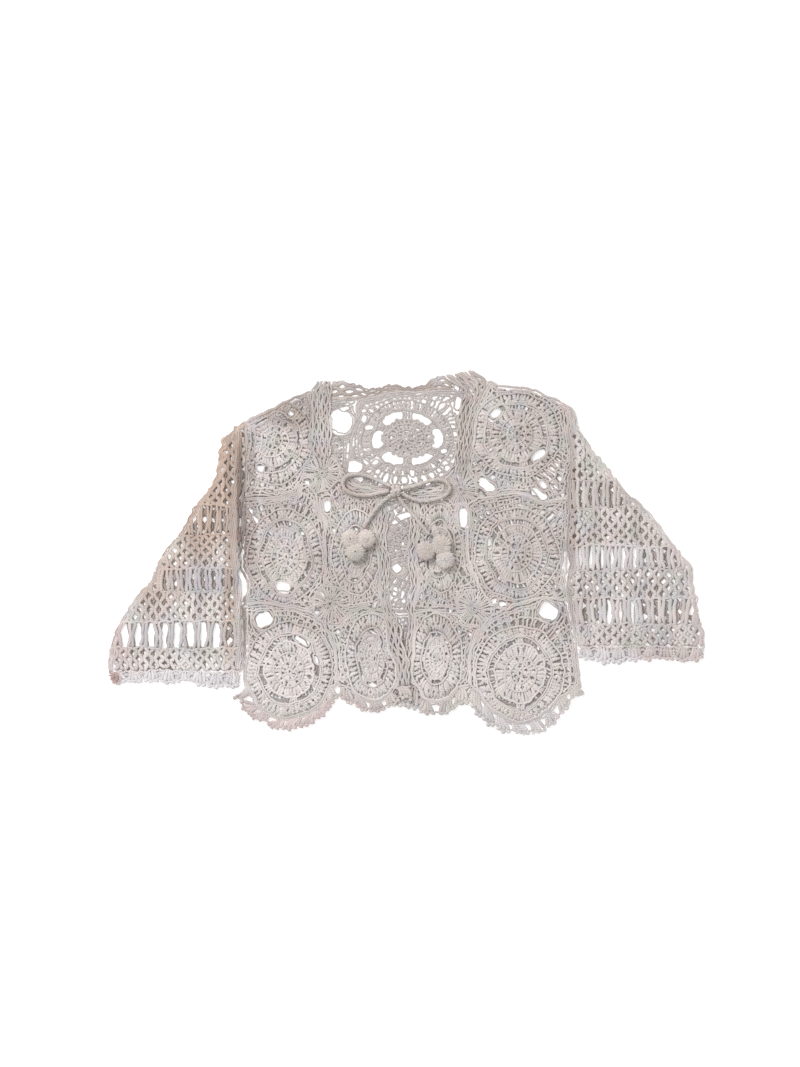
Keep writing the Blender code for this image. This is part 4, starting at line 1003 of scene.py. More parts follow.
FRONT_SIDES, MIDDLE_SIDES, BACK_SIDES = 6, 5, 4  # sides of a strand's section, fewer where less shows
BACK_RELIEF = 0.4  # of the plainer back's ropes, as a share of the front's
FINE_BACKS = ("back_mid_top", "back_mid_mid")  # the back blocks that show, at the neck and the opening


def gaps_in(outline):
    """The gaps through both layers whose middles lie in this outline."""
    middles = as_points([gap[:2] for gap in THROUGH_GAPS])
    return [gap for gap, is_in in zip(THROUGH_GAPS, inside(middles, outline)) if is_in]


RIM_OUT = 1.6


def rim(piece, x, y, half_length, half_width, turn):
    """A rope round a gap, squarish as the gap is."""
    angles = np.radians(np.arange(0, 360, 20 if half_length < 6 else 12))
    cosines, sines = np.cos(angles), np.sin(angles)
    size = (np.abs(cosines) ** 3 + np.abs(sines) ** 3) ** (-1 / 3)
    across, along = (half_length + RIM_OUT) * size * cosines, (half_width + RIM_OUT) * size * sines
    loop = np.column_stack([across, along]) @ turning(turn) + (x, y)
    piece.add(loop, 1.1, 0.35, closed=True, keep_gaps=False)


def block(name, outline, seed):
    """One medallion in its net. A fine block has rounder strands, more stitches and more relief."""
    is_front = name.startswith("front")
    fine = is_front or name in FINE_BACKS
    gaps = [gap[:5] for gap in NET_GAPS if name in gap[5:]] + gaps_in(outline)
    piece = Piece(name, FRONT_SIDES if fine else BACK_SIDES, seed, gaps)
    rings = Rings(MEDALLIONS[name], outline)
    spill = FLOWER_SPILL if is_front else 0.0
    flower(piece, rings, fine, spill)
    if name in FINE_BACKS:
        flower_backing(piece, rings)
    if is_front or name == "back_mid_top":
        joins(piece, rings, spill)
    else:
        posts(piece, rings, 0.93, 2.05, pitch=4.0, bow=0.1, wide=2.2, slim=1.9)
    dense_ring(piece, rings, fine, 1.0 if fine else BACK_RELIEF)
    net(piece, rings, fine)
    for gap in gaps:
        rim(piece, *gap)
    return piece, area_of(outline)


# Star fillers

STAR_STRANDS = {"front": 40, "back": 30}
STAR_OVERLAP = 3.0
EYE_RADII = (2.6, 4.2)
STAR_STARTS = (3.0, 8.0)

# How a stitch changes from the eye outwards. Columns: distance from the centre, half-width or lift
STAR_WIDTHS = ((3.0, 0.6), (10.0, 1.0), (26.0, 1.5))
STAR_LIFTS = ((3.0, 0.9), (8.0, 0.7), (20.0, 0.2), (26.0, 0.0))


def star(name, seed):
    """A filler: long stitches that run out from a small eye, each second one from further out."""
    layer = name.split("_")[0]
    is_front = layer == "front"
    outline = star_corners(name, 0, STAR_SIDES - 1)
    piece = Piece(name, MIDDLE_SIDES if is_front else BACK_SIDES, seed, gaps_in(outline))
    x, y = STARS[name]
    count = STAR_STRANDS[layer]
    for k in range(count):
        angle = 2 * math.pi * (k + piece.dice.uniform(-0.15, 0.15)) / count
        start = STAR_STARTS[k % 2]
        end = STAR_RADIUS + STAR_OVERLAP * piece.dice.uniform(0.2, 1.0)
        far = np.linspace(start, end, 9)
        bend = piece.dice.uniform(-0.05, 0.05)
        angles = angle + bend * np.sin(math.pi * (far - start) / (end - start))
        width = np.interp(far, *zip(*STAR_WIDTHS))
        lift = np.interp(far, *zip(*STAR_LIFTS))
        piece.add(around(x, y, far, far, angles), width, lift * (1.0 if is_front else BACK_RELIEF))
    for radius in EYE_RADII:
        eye = around(x, y, radius, radius, np.radians(np.arange(0, 360, 30)))
        piece.add(eye, 0.8, 0.9 if is_front else 0.3, closed=True)
    return piece, area_of(outline)


# Ribbed strips

SLIT_PITCH = 19.0  # of the slits that open where neighbouring ropes sway apart
SLIT_SWAY = 0.26  # of a rope's width
NECK_BACK_RIB = 0.25
NECK_PICOT, NECK_PICOT_PITCH = 1.5, 8.0
NECK_STEP = 1.6
STRIP_STEP = 3.0
LEAST_ROPE, LARGEST_ROPE = 0.75, 2.8  # half-widths

# Corners of the top stars that the bands and the neck's edge meet, to a tenth of a millimetre
LEFT_CORNERS = np.round(star_corners("front_star_left_top", 2, -1), 1)
RIGHT_CORNERS = np.round(star_corners("front_star_right_top", 4, 1), 1)

# Columns: inner edge, outer edge, number of ropes
STRIPS = {
    "band_left": (
        (PEAK_LEFT[0], *BAND_LEFT_INNER, BAND_LEFT_FOOT, LEFT_CORNERS[1]),
        (PEAK_LEFT[3], SHOULDER_LEFT[0], *SEAMS["left_band"], LEFT_CORNERS[0]),
        8,
    ),
    "band_right": (
        (PEAK_RIGHT[0], *BAND_RIGHT_INNER, BAND_RIGHT_FOOT, RIGHT_CORNERS[2]),
        (PEAK_RIGHT[3], SHOULDER_RIGHT[0], *SEAMS["right_band"], RIGHT_CORNERS[3]),
        8,
    ),
    "neck_left": (
        (*LEFT_CORNERS[1:], *SEAMS["neck_left"], OPENING_LEFT_OUT[0]),
        (BAND_LEFT_FOOT, *NECK_LEFT_TOP),
        4,
    ),
    "neck_right": (
        (OPENING_RIGHT_OUT[0], OPENING_RIGHT_IN[0], *SEAMS["neck_right"], *RIGHT_CORNERS[:3]),
        (*NECK_RIGHT_TOP, BAND_RIGHT_FOOT),
        4,
    ),
    "neck_back": (SEAMS["back_neck"][:-1], (*NECK_BACK_TOP, BACK_PEAK_RIGHT[0]), 4),
    "opening_left": (OPENING_LEFT_IN, OPENING_LEFT_OUT, 5),
    "opening_right": (OPENING_RIGHT_IN, OPENING_RIGHT_OUT, 4),
}


def ribbed_strip(name, seed):
    """Ropes side by side from one edge of a strip to the other, each second one raised."""
    inner, outer, ropes = STRIPS[name]
    is_back = name == "neck_back"
    piece = Piece(name, FRONT_SIDES, seed)
    longest = max(length_of(inner), length_of(outer))
    count = max(5, round(longest / STRIP_STEP))
    first, second = resample(inner, count), resample(outer, count)
    room = np.linalg.norm(first - second, axis=1) / ropes
    half_width = np.clip(0.48 * room, LEAST_ROPE, LARGEST_ROPE)
    waves = 2 * math.pi * np.linspace(0.0, longest, count) / SLIT_PITCH
    raised = (0.1, NECK_BACK_RIB if is_back else RIB)
    for k in range(ropes):
        sway = SLIT_SWAY * np.sin(waves + math.pi * k + piece.dice.uniform(-0.7, 0.7))
        share = (k + 0.5 + sway)[:, None] / ropes
        piece.add(first + share * (second - first), half_width, raised[k % 2] + 0.2 * sway)
    if is_back:
        count = round(length_of(outer) / NECK_STEP)
        edge = shifted(resample(outer, count), -0.6)
        edge[:, 1] += NECK_PICOT * np.abs(np.sin(math.pi * np.arange(count) * NECK_STEP / NECK_PICOT_PITCH))
        piece.add(edge, 0.9, 0.1)
    return piece, area_of([*inner, *outer[::-1]])


# Picot edgings

EDGING_PITCH = 21.0
HEM_PITCH = 23.5
FAN_STITCHES = 4
FAN_PICOTS = 3
FAN_REACH = 0.82  # of the edging's width, to the top of a fan without its picots
FAN_CURVE = 0.8  # how much the fans round off towards their sides
PICOT_LONG = 0.18  # of the edging's width
PICOT_PLACES = np.array([-0.1, 0.3, 0.7, 1.0])  # along a picot, from inside the fan's edge to its tip


def edging(piece, inner, outer, pitch=EDGING_PITCH, roped=True):
    """A foot rope, a second rope if asked, and a row of fans that each end in a few round picots."""
    fans = max(2, round(length_of(outer) / pitch))
    count = 12 * fans + 1
    first, second = resample(inner, count), resample(outer, count)

    def at(places, share):
        """Plan points at these shares of the length and of the width."""
        places = np.clip(np.asarray(places, float), 0.0, 1.0) * (count - 1)
        low = np.clip(np.floor(places).astype(int), 0, count - 2)
        part = (places - low)[:, None]
        a = first[low] * (1 - part) + first[low + 1] * part
        b = second[low] * (1 - part) + second[low + 1] * part
        return a + np.asarray(share, float)[:, None] * (b - a)

    def fan_top(spread):
        return FAN_REACH - FAN_CURVE * spread**2

    whole = np.linspace(0.0, 1.0, count)
    ripple = np.abs(np.sin(2 * math.pi * fans * whole))
    piece.add(at(whole, 0.02 + 0.09 * ripple), 1.1, 0.1)
    if roped:
        piece.add(at(whole, 0.25 + 0.12 * ripple[::-1]), 1.2, 0.35)
    piece.add(at(whole, fan_top((fans * whole) % 1.0 - 0.5)), 1.3, 0.55)
    v = np.linspace(0.0, 1.0, 5)
    width = np.interp(v, (0, 0.5, 1), (1.3, 2.3, 2.8))
    for k in range(fans):
        middle = (k + 0.5 + piece.dice.uniform(-0.05, 0.05)) / fans
        for i in range(FAN_STITCHES):
            spread = (i + 0.5) / FAN_STITCHES - 0.5
            places = middle + spread * (0.5 + 0.5 * v) / fans
            line = at(places, 0.03 + (fan_top(spread) - 0.03) * v)
            piece.add(line, width, 0.1 + 0.3 * np.sin(math.pi * v))
        for i in range(FAN_PICOTS):
            spread = (i + 0.5 + piece.dice.uniform(-0.1, 0.1)) / FAN_PICOTS - 0.5
            line = at(np.full(4, middle + spread / fans), fan_top(spread) + PICOT_LONG * PICOT_PLACES)
            piece.add(line, (2.2, 3.0, 2.8, 1.7), 0.35, (1.0, 1.5, 1.5, 1.0))


# Inner lines of the hem's scallops, from left to right. Columns: x, y
HEM_LINES = {
    "hem_left": (
        (SIDE_LEFT[-1], *hem_line("front_left_bottom"), SEAMS["left_column_low"][-1]),
        (
            SEAMS["left_column_low"][-1], *hem_line("front_left_inner_bottom"), OPENING_LEFT_IN[-1],
            OPENING_LEFT_OUT[-1],
        ),
    ),
    "hem_right": (
        (
            OPENING_RIGHT_OUT[-1], OPENING_RIGHT_IN[-1], *hem_line("front_right_inner_bottom"),
            SEAMS["right_column_low"][-1],
        ),
        (SEAMS["right_column_low"][-1], *hem_line("front_right_bottom"), SIDE_RIGHT[-1]),
    ),
    "hem_back": (
        (
            shifted(SIDE_LEFT, BACK_INSET)[-1], *hem_line("back_left_bottom"),
            SEAMS["back_left_column_low"][-1],
        ),
        (
            SEAMS["back_left_column_low"][-1], *hem_line("back_mid_bottom"),
            SEAMS["back_right_column_low"][-1],
        ),
        (
            SEAMS["back_right_column_low"][-1], *hem_line("back_right_bottom"),
            shifted(SIDE_RIGHT, -BACK_INSET)[-1],
        ),
    ),
}

# Points of the hem's outer line before its first scallop and after its last one
HEM_ENDS = {
    "hem_left": (((-207, -176.5), (-224, -181)), ((7, -190),)),
    "hem_right": (((-2, -188),), ((228, -179),)),
    "hem_back": ((), ()),
}


def scallop(block_name, first_radius, last_radius, belly, first, last):
    """One scallop of the hem: an arc about a medallion's centre."""
    share = np.linspace(0.0, 1.0, 25)
    radius = first_radius + share * (last_radius - first_radius) + belly * np.sin(math.pi * share)
    return around(*MEDALLIONS[block_name][:2], radius, radius, np.radians(first + share * (last - first)))


def hem(name, seed):
    """A hem's scallops, which meet half-way between their ends."""
    piece = Piece(name, BACK_SIDES if name == "hem_back" else FRONT_SIDES, seed)
    outers = [scallop(*row) for row in HEM_SCALLOPS[name]]
    for before, after in zip(outers, outers[1:]):
        before[-1] = after[0] = (before[-1] + after[0]) / 2
    start, end = HEM_ENDS[name]
    outers[0] = [*start, *outers[0]]
    outers[-1] = [*outers[-1], *end]
    area = 0.0
    for inner, outer in zip(HEM_LINES[name], outers):
        edging(piece, inner, outer, HEM_PITCH, roped=False)
        area += area_of([*inner, *outer[::-1]])
    return piece, area


CUFF_ENDS = {
    "left": (SLEEVE_LEFT[-1], INNER_SLEEVE_LEFT[-1]),
    "right": (INNER_SLEEVE_RIGHT[-1], SLEEVE_RIGHT[-1]),
}


def cuff(name, seed):
    """A cuff's edging. The back one is narrower and lies inside the front one's ends."""
    _, side, layer = name.split("_")
    start, end = CUFF_ENDS[side]
    edge = list(CUFF_EDGES[side])
    is_front = layer == "front"
    if not is_front:
        start = (start[0] + BACK_INSET + 1, start[1])
        end = (end[0] - BACK_INSET - 1, end[1])
        edge = [(x, y + CUFF_BACK_LIFT) for x, y in edge]
        edge[0], edge[-1] = (start[0], edge[0][1]), (end[0], edge[-1][1])
    piece = Piece(name, FRONT_SIDES if is_front else BACK_SIDES, seed)
    edging(piece, (start, end), edge, roped=is_front)
    return piece, area_of([start, *edge, end])


# Sleeves

SLEEVE_TOPS = {"left": 178, "right": 196}
SLEEVE_SPANS = {"left": (-382, -200), "right": (198, 382)}
INWARD = {"left": 1, "right": -1}  # the side of the outer line that the sleeve lies on
DIAMOND_PITCH = 13.0
DIAMOND_ROW = 7.6
DIAMOND_SWING = 1.75
LOOP_STRANDS = 2
EDGE_ROPES = (0.9, 2.9, 4.9)  # distances from the outer line
EDGE_STEP = 2.6

# Outer line, armhole, inner line under the arm
SLEEVE_LINES = {
    "left": (SHOULDER_LEFT[-1:] + SLEEVE_LEFT, ARMHOLE_LEFT, INNER_SLEEVE_LEFT),
    "right": (SHOULDER_RIGHT[-1:] + SLEEVE_RIGHT, ARMHOLE_RIGHT, INNER_SLEEVE_RIGHT),
}

# Where each round of the back layer has the front's slots, which shows the floor. Elsewhere it is net.
# Columns: from x, to x
BACK_SLOTS = {"left": (None, None, (-362, -236)), "right": (None, (213, 297), (250, 295))}

# Ropes of the roll beside the armhole. Columns: distance from the armhole's line, lift
ROLL_ROPES = {
    "left": ((-0.4, 0.0), (1.9, 0.5), (4.2, 0.8), (6.5, 0.5)),
    "right": ((-0.2, 0.0), (2.1, 0.3)),
}
ROLL_SHIFT = {"left": 5.0, "right": 0.0}  # how much farther the roll lies at the armhole than under the arm
BACK_OFFSETS = (0.5, 0.5, 0.35, 0.15)  # how far the back's net is out of step with the front's, in each band


def sleeve_outline(side, is_front):
    outer, armhole, inner = SLEEVE_LINES[side]
    if not is_front:
        inset = INWARD[side] * BACK_INSET
        outer = shifted(outer, inset)
        inner = shifted(armhole[-1:] + inner, -inset)
    return [*outer, *inner[::-1], *armhole[::-1]]


def net_bands(side):
    """The net's bands between the slot rounds, from the top down. Columns: low y, high y"""
    edges = [SLEEVE_TOPS[side]]
    for top, bottom, *_ in SLOT_ROWS[side]:
        edges += [top, bottom]
    edges.append(CUFF_TOPS[side])
    return [(edges[k + 1], edges[k]) for k in range(0, len(edges), 2)]


def lattice(piece, side, low, high, outline, width, offset, span=None):
    """Net between two rounds: strands that meet and part by turns, kept out of a span."""
    rows = max(1, round((high - low) / DIAMOND_ROW))
    y = np.linspace(low, high, 6 * rows + 1)
    swing = np.cos(math.pi * (y - low) * rows / (high - low))
    wave = np.sign(swing) * np.abs(swing) ** 0.6
    half_width = width * (1.1 - 0.15 * np.abs(wave))
    left, right = SLEEVE_SPANS[side]
    for k in range(int((right - left) / (DIAMOND_PITCH / 2))):
        way = 1 if k % 2 else -1
        x = left + (k + offset) * DIAMOND_PITCH / 2 + way * DIAMOND_SWING * wave
        keep = None if span is None else (x < span[0]) | (x > span[1])
        piece.add(np.column_stack([x, y]), half_width, 0.2 * wave * way, clip=outline, keep=keep)


def slot_columns(piece, side, row, outline, width, span=None):
    """Long loops between the open slots of one round, gathered at both ends, and kept in a span."""
    top, bottom, first, pitch, slot = SLOT_ROWS[side][row]
    left, right = SLEEVE_SPANS[side]
    y = np.linspace(bottom - 3, top + 3, 8)
    share = np.clip((y - bottom) / (top - bottom), 0, 1)
    swell = np.clip(np.sin(math.pi * share), 0, 1) ** 0.6
    reach = pitch - slot + 0.9 * slot * (1 - swell)
    for k in range(math.ceil((left - first) / pitch), int((right - first) / pitch) + 1):
        middle = first + (k + 0.5) * pitch
        for i in range(LOOP_STRANDS):
            place = (i + 0.5) / LOOP_STRANDS - 0.5
            x = middle + place * reach + 0.25 * piece.dice.uniform(-1, 1)
            lift = (0.4 if i % 2 else 0.2) + 0.2 * swell
            keep = None if span is None else (x > span[0]) & (x < span[1])
            piece.add(np.column_stack([x, y]), width * (0.9 + 0.1 * swell), lift, clip=outline, keep=keep)


def sleeve_edges(piece, side):
    """Ropes along a sleeve's outer line, and those of the roll beside its armhole."""
    line = SLEEVE_LINES[side][0]
    for distance in EDGE_ROPES:
        edge = shifted(line, INWARD[side] * distance)
        piece.add(resample(edge, round(length_of(edge) / EDGE_STEP)), 1.1, 0.2)
    hole = ARMHOLE_LINES[side]
    for offset, lift in ROLL_ROPES[side]:
        edge = resample(hole, round(length_of(hole) / EDGE_STEP))
        edge[:, 0] -= INWARD[side] * (offset + ROLL_SHIFT[side] * smooth_step(-40.0, 10.0, edge[:, 1]))
        piece.add(edge, 1.35, lift, keep=edge[:, 1] < SLEEVE_TOPS[side] - 12)


def sleeve(name, seed):
    """One layer of a sleeve: bands of net with rounds of long loops between them."""
    _, side, layer = name.split("_")
    is_front = layer == "front"
    outline = sleeve_outline(side, is_front)
    piece = Piece(name, FRONT_SIDES if is_front else MIDDLE_SIDES, seed)
    width, loop_width, slot_lift = (2.4, 1.25, 0.15) if is_front else (2.6, 1.05, 0.0)
    for (low, high), offset in zip(net_bands(side), BACK_OFFSETS):
        lattice(piece, side, low + 0.3, high - 1, outline, width, 0.0 if is_front else offset)
    x = np.arange(*SLEEVE_SPANS[side], 2.0)
    for row, (top, bottom, first, pitch, slot) in enumerate(SLOT_ROWS[side]):
        span = None if is_front else BACK_SLOTS[side][row]
        if is_front or span:
            slot_columns(piece, side, row, outline, loop_width * (pitch - slot) / 4, span)
        if not is_front:
            lattice(piece, side, bottom, top, outline, width, 0.5, span)
        arch = 0.6 + 2.2 * np.abs(np.cos(math.pi * (x - first) / pitch)) ** 0.7
        for y in (top + arch, bottom - arch):
            piece.add(np.column_stack([x, y]), 1.5, slot_lift, clip=outline)
    if is_front:
        sleeve_edges(piece, side)
    return piece, area_of(outline)


# Tie

TWIST_PITCH = 9.0
TWIST_STRANDS = 3
STRAND_OFFSET, STRAND_RADIUS = 1.25, 1.3


def smooth_route(points, step):
    """Points about a step apart on a smooth curve through the route's points."""
    knots = as_points(points)
    ends = np.concatenate([[2 * knots[0] - knots[1]], knots, [2 * knots[-1] - knots[-2]]])
    t = (np.arange(12) / 12)[:, None]
    fine = []
    for a, b, c, d in zip(ends, ends[1:], ends[2:], ends[3:]):
        square, cube = 2 * a - 5 * b + 4 * c - d, 3 * b - a - 3 * c + d
        fine.append(0.5 * (2 * b + (c - a) * t + square * t**2 + cube * t**3))
    line = np.concatenate([*fine, knots[-1:]])
    return resample(line, max(4, round(length_of(line) / step)))


def twisted(route):
    """Centre lines of a cord's strands, twisted round its route."""
    along = lengths_along(route)
    side = transported(route)
    up = np.cross(unit(np.gradient(route, axis=0)), side)
    lines = []
    for k in range(TWIST_STRANDS):
        angle = 2 * math.pi * (along / TWIST_PITCH + k / TWIST_STRANDS)[:, None]
        lines.append(route + STRAND_OFFSET * (np.cos(angle) * side + np.sin(angle) * up))
    return lines


def tie_cord(name, seed):
    route = smooth_route(TIE_ROUTES[name], 1.3)
    beads = 2 * math.pi * lengths_along(route) / 4.4
    strands = []
    for k, line in enumerate(twisted(route)):
        strands.append((line, STRAND_RADIUS * (1 + 0.12 * np.sin(beads + k))))
    return strands_in_space(name, strands, "tie", seed), route


def ellipse(centre, first, second, count):
    """A closed line in space about a centre, from its two half-axes."""
    angles = np.linspace(0, 2 * math.pi, count)[:, None]
    return as_points(centre) + np.cos(angles) * as_points(first) + np.sin(angles) * as_points(second)


def level_ellipse(centre, across, along, count):
    return ellipse(centre, (across, 0, 0), (0, along, 0), count)


# Turns of the cord in the knot. Columns: centre from the knot's, and the two half-axes
KNOT_TURNS = (
    ((-2.9, 0, 0), (-0.8, 5.4, 0), (0, 0, 3.4)),
    ((2.9, 0, 0), (0.8, 5.4, 0), (0, 0, 3.4)),
    ((0, 0, 0), (5.4, 1.6, 0), (-0.6, 0, 4.2)),
)

# Level rounds that fill the knot. Columns: height from the knot's centre, size
CORE_ROUNDS = ((-2.4, 0.55), (0.0, 0.8), (2.4, 0.55), (2.6, 0.2), (-2.6, 0.2))


def knot(seed):
    """The tie's knot: two turns of the cord side by side and one across them, round a core."""
    x, y, z = KNOT_AT
    strands = []
    for centre, first, second in KNOT_TURNS:
        turn = ellipse(as_points(KNOT_AT) + centre, first, second, 34)
        strands += [(line, 1.4) for line in twisted(turn)]
    for height, size in CORE_ROUNDS:
        strands.append((level_ellipse((x, y, z + height), 5.6 * size, 4.6 * size, 24), 1.9))
    return strands_in_space("tie_knot", strands, "tie", seed)


LOBE_STRANDS = 20
CAP_STRANDS = 9
FILLING_LEVELS = (-0.7, -0.3, 0.3, 0.7)  # shares of the half-height


def puff(name, seed):
    """Three lobes, each a fat round of soft strands drawn together at its poles, over a filling."""
    dice = np.random.default_rng([SEED, seed])
    strands = []
    half = PUFF_HALF_HEIGHT
    polar = np.linspace(0.12, math.pi - 0.12, 13)
    for x, y, radius in PUFF_LOBES[name]:
        thickness = np.clip(0.3 + 1.45 * np.sin(polar), 0.5, 1.75) * radius / 12.5
        for k in range(LOBE_STRANDS):
            angle = 2 * math.pi * (k + dice.uniform(-0.12, 0.12)) / LOBE_STRANDS
            bulge = 1 + dice.uniform(-0.06, 0.02) + dice.uniform(-0.05, 0.02, 13)
            out = (1.08 * radius - 1.7) * np.sin(polar) * bulge
            swirl = angle + dice.uniform(0.1, 0.6) * (polar / math.pi)
            height = PUFF_Z + (half - 1.6) * np.cos(polar)
            strands.append((np.column_stack([around(x, y, out, out, swirl), height]), thickness))
        for side in (-1, 1):
            for k in range(CAP_STRANDS):
                turn, out = dice.uniform(0, math.pi), dice.uniform(0, 0.35) * radius
                half_cap = 2.4 * np.array([math.cos(turn), math.sin(turn), 0.0])
                spot = around(x, y, out, out, 2 * math.pi * k / CAP_STRANDS)
                middle = np.array([*spot, PUFF_Z + side * (half - 1.75)])
                strands.append((middle + np.linspace(-1, 1, 4)[:, None] * half_cap, 1.45))
        for level in FILLING_LEVELS:
            centre = (x, y, PUFF_Z + level * (half - 3))
            inner = (radius - 3.2) * math.sqrt(1 - level * level)
            strands.append((level_ellipse(centre, inner, inner, 26), 2.6))
            strands.append((level_ellipse(centre, inner / 2, inner / 2, 18), 3.0))
    return strands_in_space(name, strands, "puff", seed)


# Materials

def linear(red, green, blue):
    """A colour given as it shows on a screen, 0 to 255, as the shader wants it."""
    shown = np.array([red, green, blue]) / 255
    return tuple(np.where(shown <= 0.04045, shown / 12.92, ((shown + 0.055) / 1.055) ** 2.4)) + (1.0,)


class Nodes:
    """Short calls for the nodes of one material."""

    def __init__(self, name):
        self.material = bpy.data.materials.new(name)
        self.material.use_nodes = True
        self.tree = self.material.node_tree
        self.shader = self.tree.nodes["Principled BSDF"].inputs

    def new(self, kind, **settings):
        node = self.tree.nodes.new(kind)
        for key, value in settings.items():
            setattr(node, key, value)
        return node

    def put(self, sockets, values):
        """Links or sets these inputs, given as a table from socket to value."""
        for key, value in values.items():
            if isinstance(value, bpy.types.NodeSocket):
                self.tree.links.new(value, sockets[key])
            else:
                sockets[key].default_value = value

    def math(self, operation, a, b=0.0):
        node = self.new("ShaderNodeMath", operation=operation)
        self.put(node.inputs, {0: a, 1: b})
        return node.outputs[0]

    def vector(self, operation, a, b=(0.0, 0.0, 0.0)):
        node = self.new("ShaderNodeVectorMath", operation=operation)
        self.put(node.inputs, {0: a, 1: b})
        return node.outputs["Value" if operation == "LENGTH" else "Vector"]

    def mix(self, share, a, b, blend="MIX"):
        node = self.new("ShaderNodeMix", data_type="RGBA", blend_type=blend)
        self.put(node.inputs, {0: share, 6: a, 7: b})
        return node.outputs[2]

    def ramp(self, value, low, high, start, end):
        node = self.new("ShaderNodeMapRange", interpolation_type="SMOOTHSTEP")
        self.put(node.inputs, dict(enumerate((value, low, high, start, end))))
        return node.outputs[0]

    def noise(self, place, scale, detail=2.0):
        node = self.new("ShaderNodeTexNoise")
        self.put(node.inputs, {"Vector": place, "Scale": scale, "Detail": detail})
        return node.outputs[0]

    def attribute(self, name):
        return self.new("ShaderNodeAttribute", attribute_name=name).outputs["Fac"]

    def place(self):
        return self.new("ShaderNodeTexCoord").outputs["Object"]


# Sizes of the noises, per metre
CLOUD_SCALE, BLOTCH_SCALE, FIBRE_SCALE = 16.0, 42.0, 900.0

# Stretches of dye all over the yarn. Columns: colour, strength
DYES = ((linear(222, 203, 201), 0.45), (linear(205, 207, 198), 0.5), (linear(204, 204, 212), 0.4))


def dye_and_painted_shade(nodes, place, light, dark, patches):
    """The yarn's colour, with stretches of dye all over it, and its patches, some of which are painted shade.
    """
    cloud = nodes.noise(place, CLOUD_SCALE, 3.0)
    colour = nodes.mix(nodes.ramp(cloud, 0.36, 0.64, 0.0, 1.0), dark, light)
    for k, (tint, strength) in enumerate(DYES):
        blotch = nodes.noise(nodes.vector("ADD", place, (0.7 * k, 0.4, 0.3 * k)), BLOTCH_SCALE)
        colour = nodes.mix(nodes.ramp(blotch, 0.5, 0.68, 0.0, strength), colour, tint)
    for x, y, half_x, half_y, tint, strength in patches:
        from_middle = nodes.vector("SUBTRACT", place, (x * MM + TO_ROW[0], y * MM + TO_ROW[1], 0.0))
        scaled = nodes.vector("MULTIPLY", from_middle, (1 / (half_x * MM), 1 / (half_y * MM), 0.0))
        far = nodes.math("ADD", nodes.vector("LENGTH", scaled), nodes.math("MULTIPLY", cloud, 0.6))
        colour = nodes.mix(nodes.ramp(far, 0.9, 1.6, strength, 0.0), colour, tint)
    return colour


def yarn(name, light, dark, patches=(), ply=3.4, spread=0.10):
    """Matt plied cotton. Ply is its twist's length in mm, and spread how much strands differ in tone."""
    nodes = Nodes(name)
    place = nodes.place()
    colour = dye_and_painted_shade(nodes, place, light, dark, patches)

    shade = nodes.math("ADD", 1.0 - spread, nodes.math("MULTIPLY", nodes.attribute("strand"), 2 * spread))
    along = nodes.math("MULTIPLY", nodes.attribute("along"), 2 * math.pi / ply)
    turned = nodes.math("MULTIPLY", nodes.attribute("around"), 2.0)
    twist = nodes.math("SINE", nodes.math("ADD", along, turned))
    fibre = nodes.noise(place, FIBRE_SCALE)
    # Painted shade: the colour darkens in the grooves of the twist, between the plies.
    shade = nodes.math("MULTIPLY", shade, nodes.ramp(twist, -1.0, 0.4, 0.86, 1.03))
    shade = nodes.math("MULTIPLY", shade, nodes.ramp(fibre, 0.3, 0.7, 0.93, 1.06))
    grey = nodes.new("ShaderNodeCombineColor")
    nodes.put(grey.inputs, {0: shade, 1: shade, 2: shade})

    bump = nodes.new("ShaderNodeBump")
    height = nodes.math("ADD", nodes.math("MULTIPLY", twist, 0.5), fibre)
    nodes.put(bump.inputs, {"Strength": 0.55, "Distance": 0.0004, "Height": height})
    nodes.put(nodes.shader, {
        "Base Color": nodes.mix(1.0, colour, grey.outputs[0], "MULTIPLY"),
        "Normal": bump.outputs[0],
        "Roughness": nodes.ramp(fibre, 0.3, 0.7, 0.82, 0.95),
        "Specular IOR Level": 0.25,
        "Sheen Weight": 0.2,
        "Sheen Roughness": 0.5,
    })
    return nodes.material


FLOOR_GLOW = 0.4  # a lit table, so that the floor is white through the gaps


def plain_floor():
    nodes = Nodes("studio_floor")
    cloud = nodes.noise(nodes.place(), 3.0)
    nodes.put(nodes.shader, {
        "Base Color": nodes.mix(cloud, (0.93, 0.93, 0.93, 1.0), (0.95, 0.95, 0.95, 1.0)),
        "Roughness": 0.9,
        "Specular IOR Level": 0.1,
        "Emission Color": (1.0, 1.0, 1.0, 1.0),
        "Emission Strength": FLOOR_GLOW,
    })
    return nodes.material


TAN = linear(203, 176, 158)
GREY_BLUE = linear(186, 186, 196)
# Brown, for painted shade at the left shoulder, the armholes and the sleeves' backs, and for the browner
# edging by the neck
BROWN = linear(160, 137, 127)
# Colour of the painted shadow at the folds
FOLD_SHADOW_BROWN = linear(118, 97, 88)
PINK = linear(225, 203, 203)
PALE = linear(240, 233, 230)
LILAC_WHITE = linear(236, 231, 234)
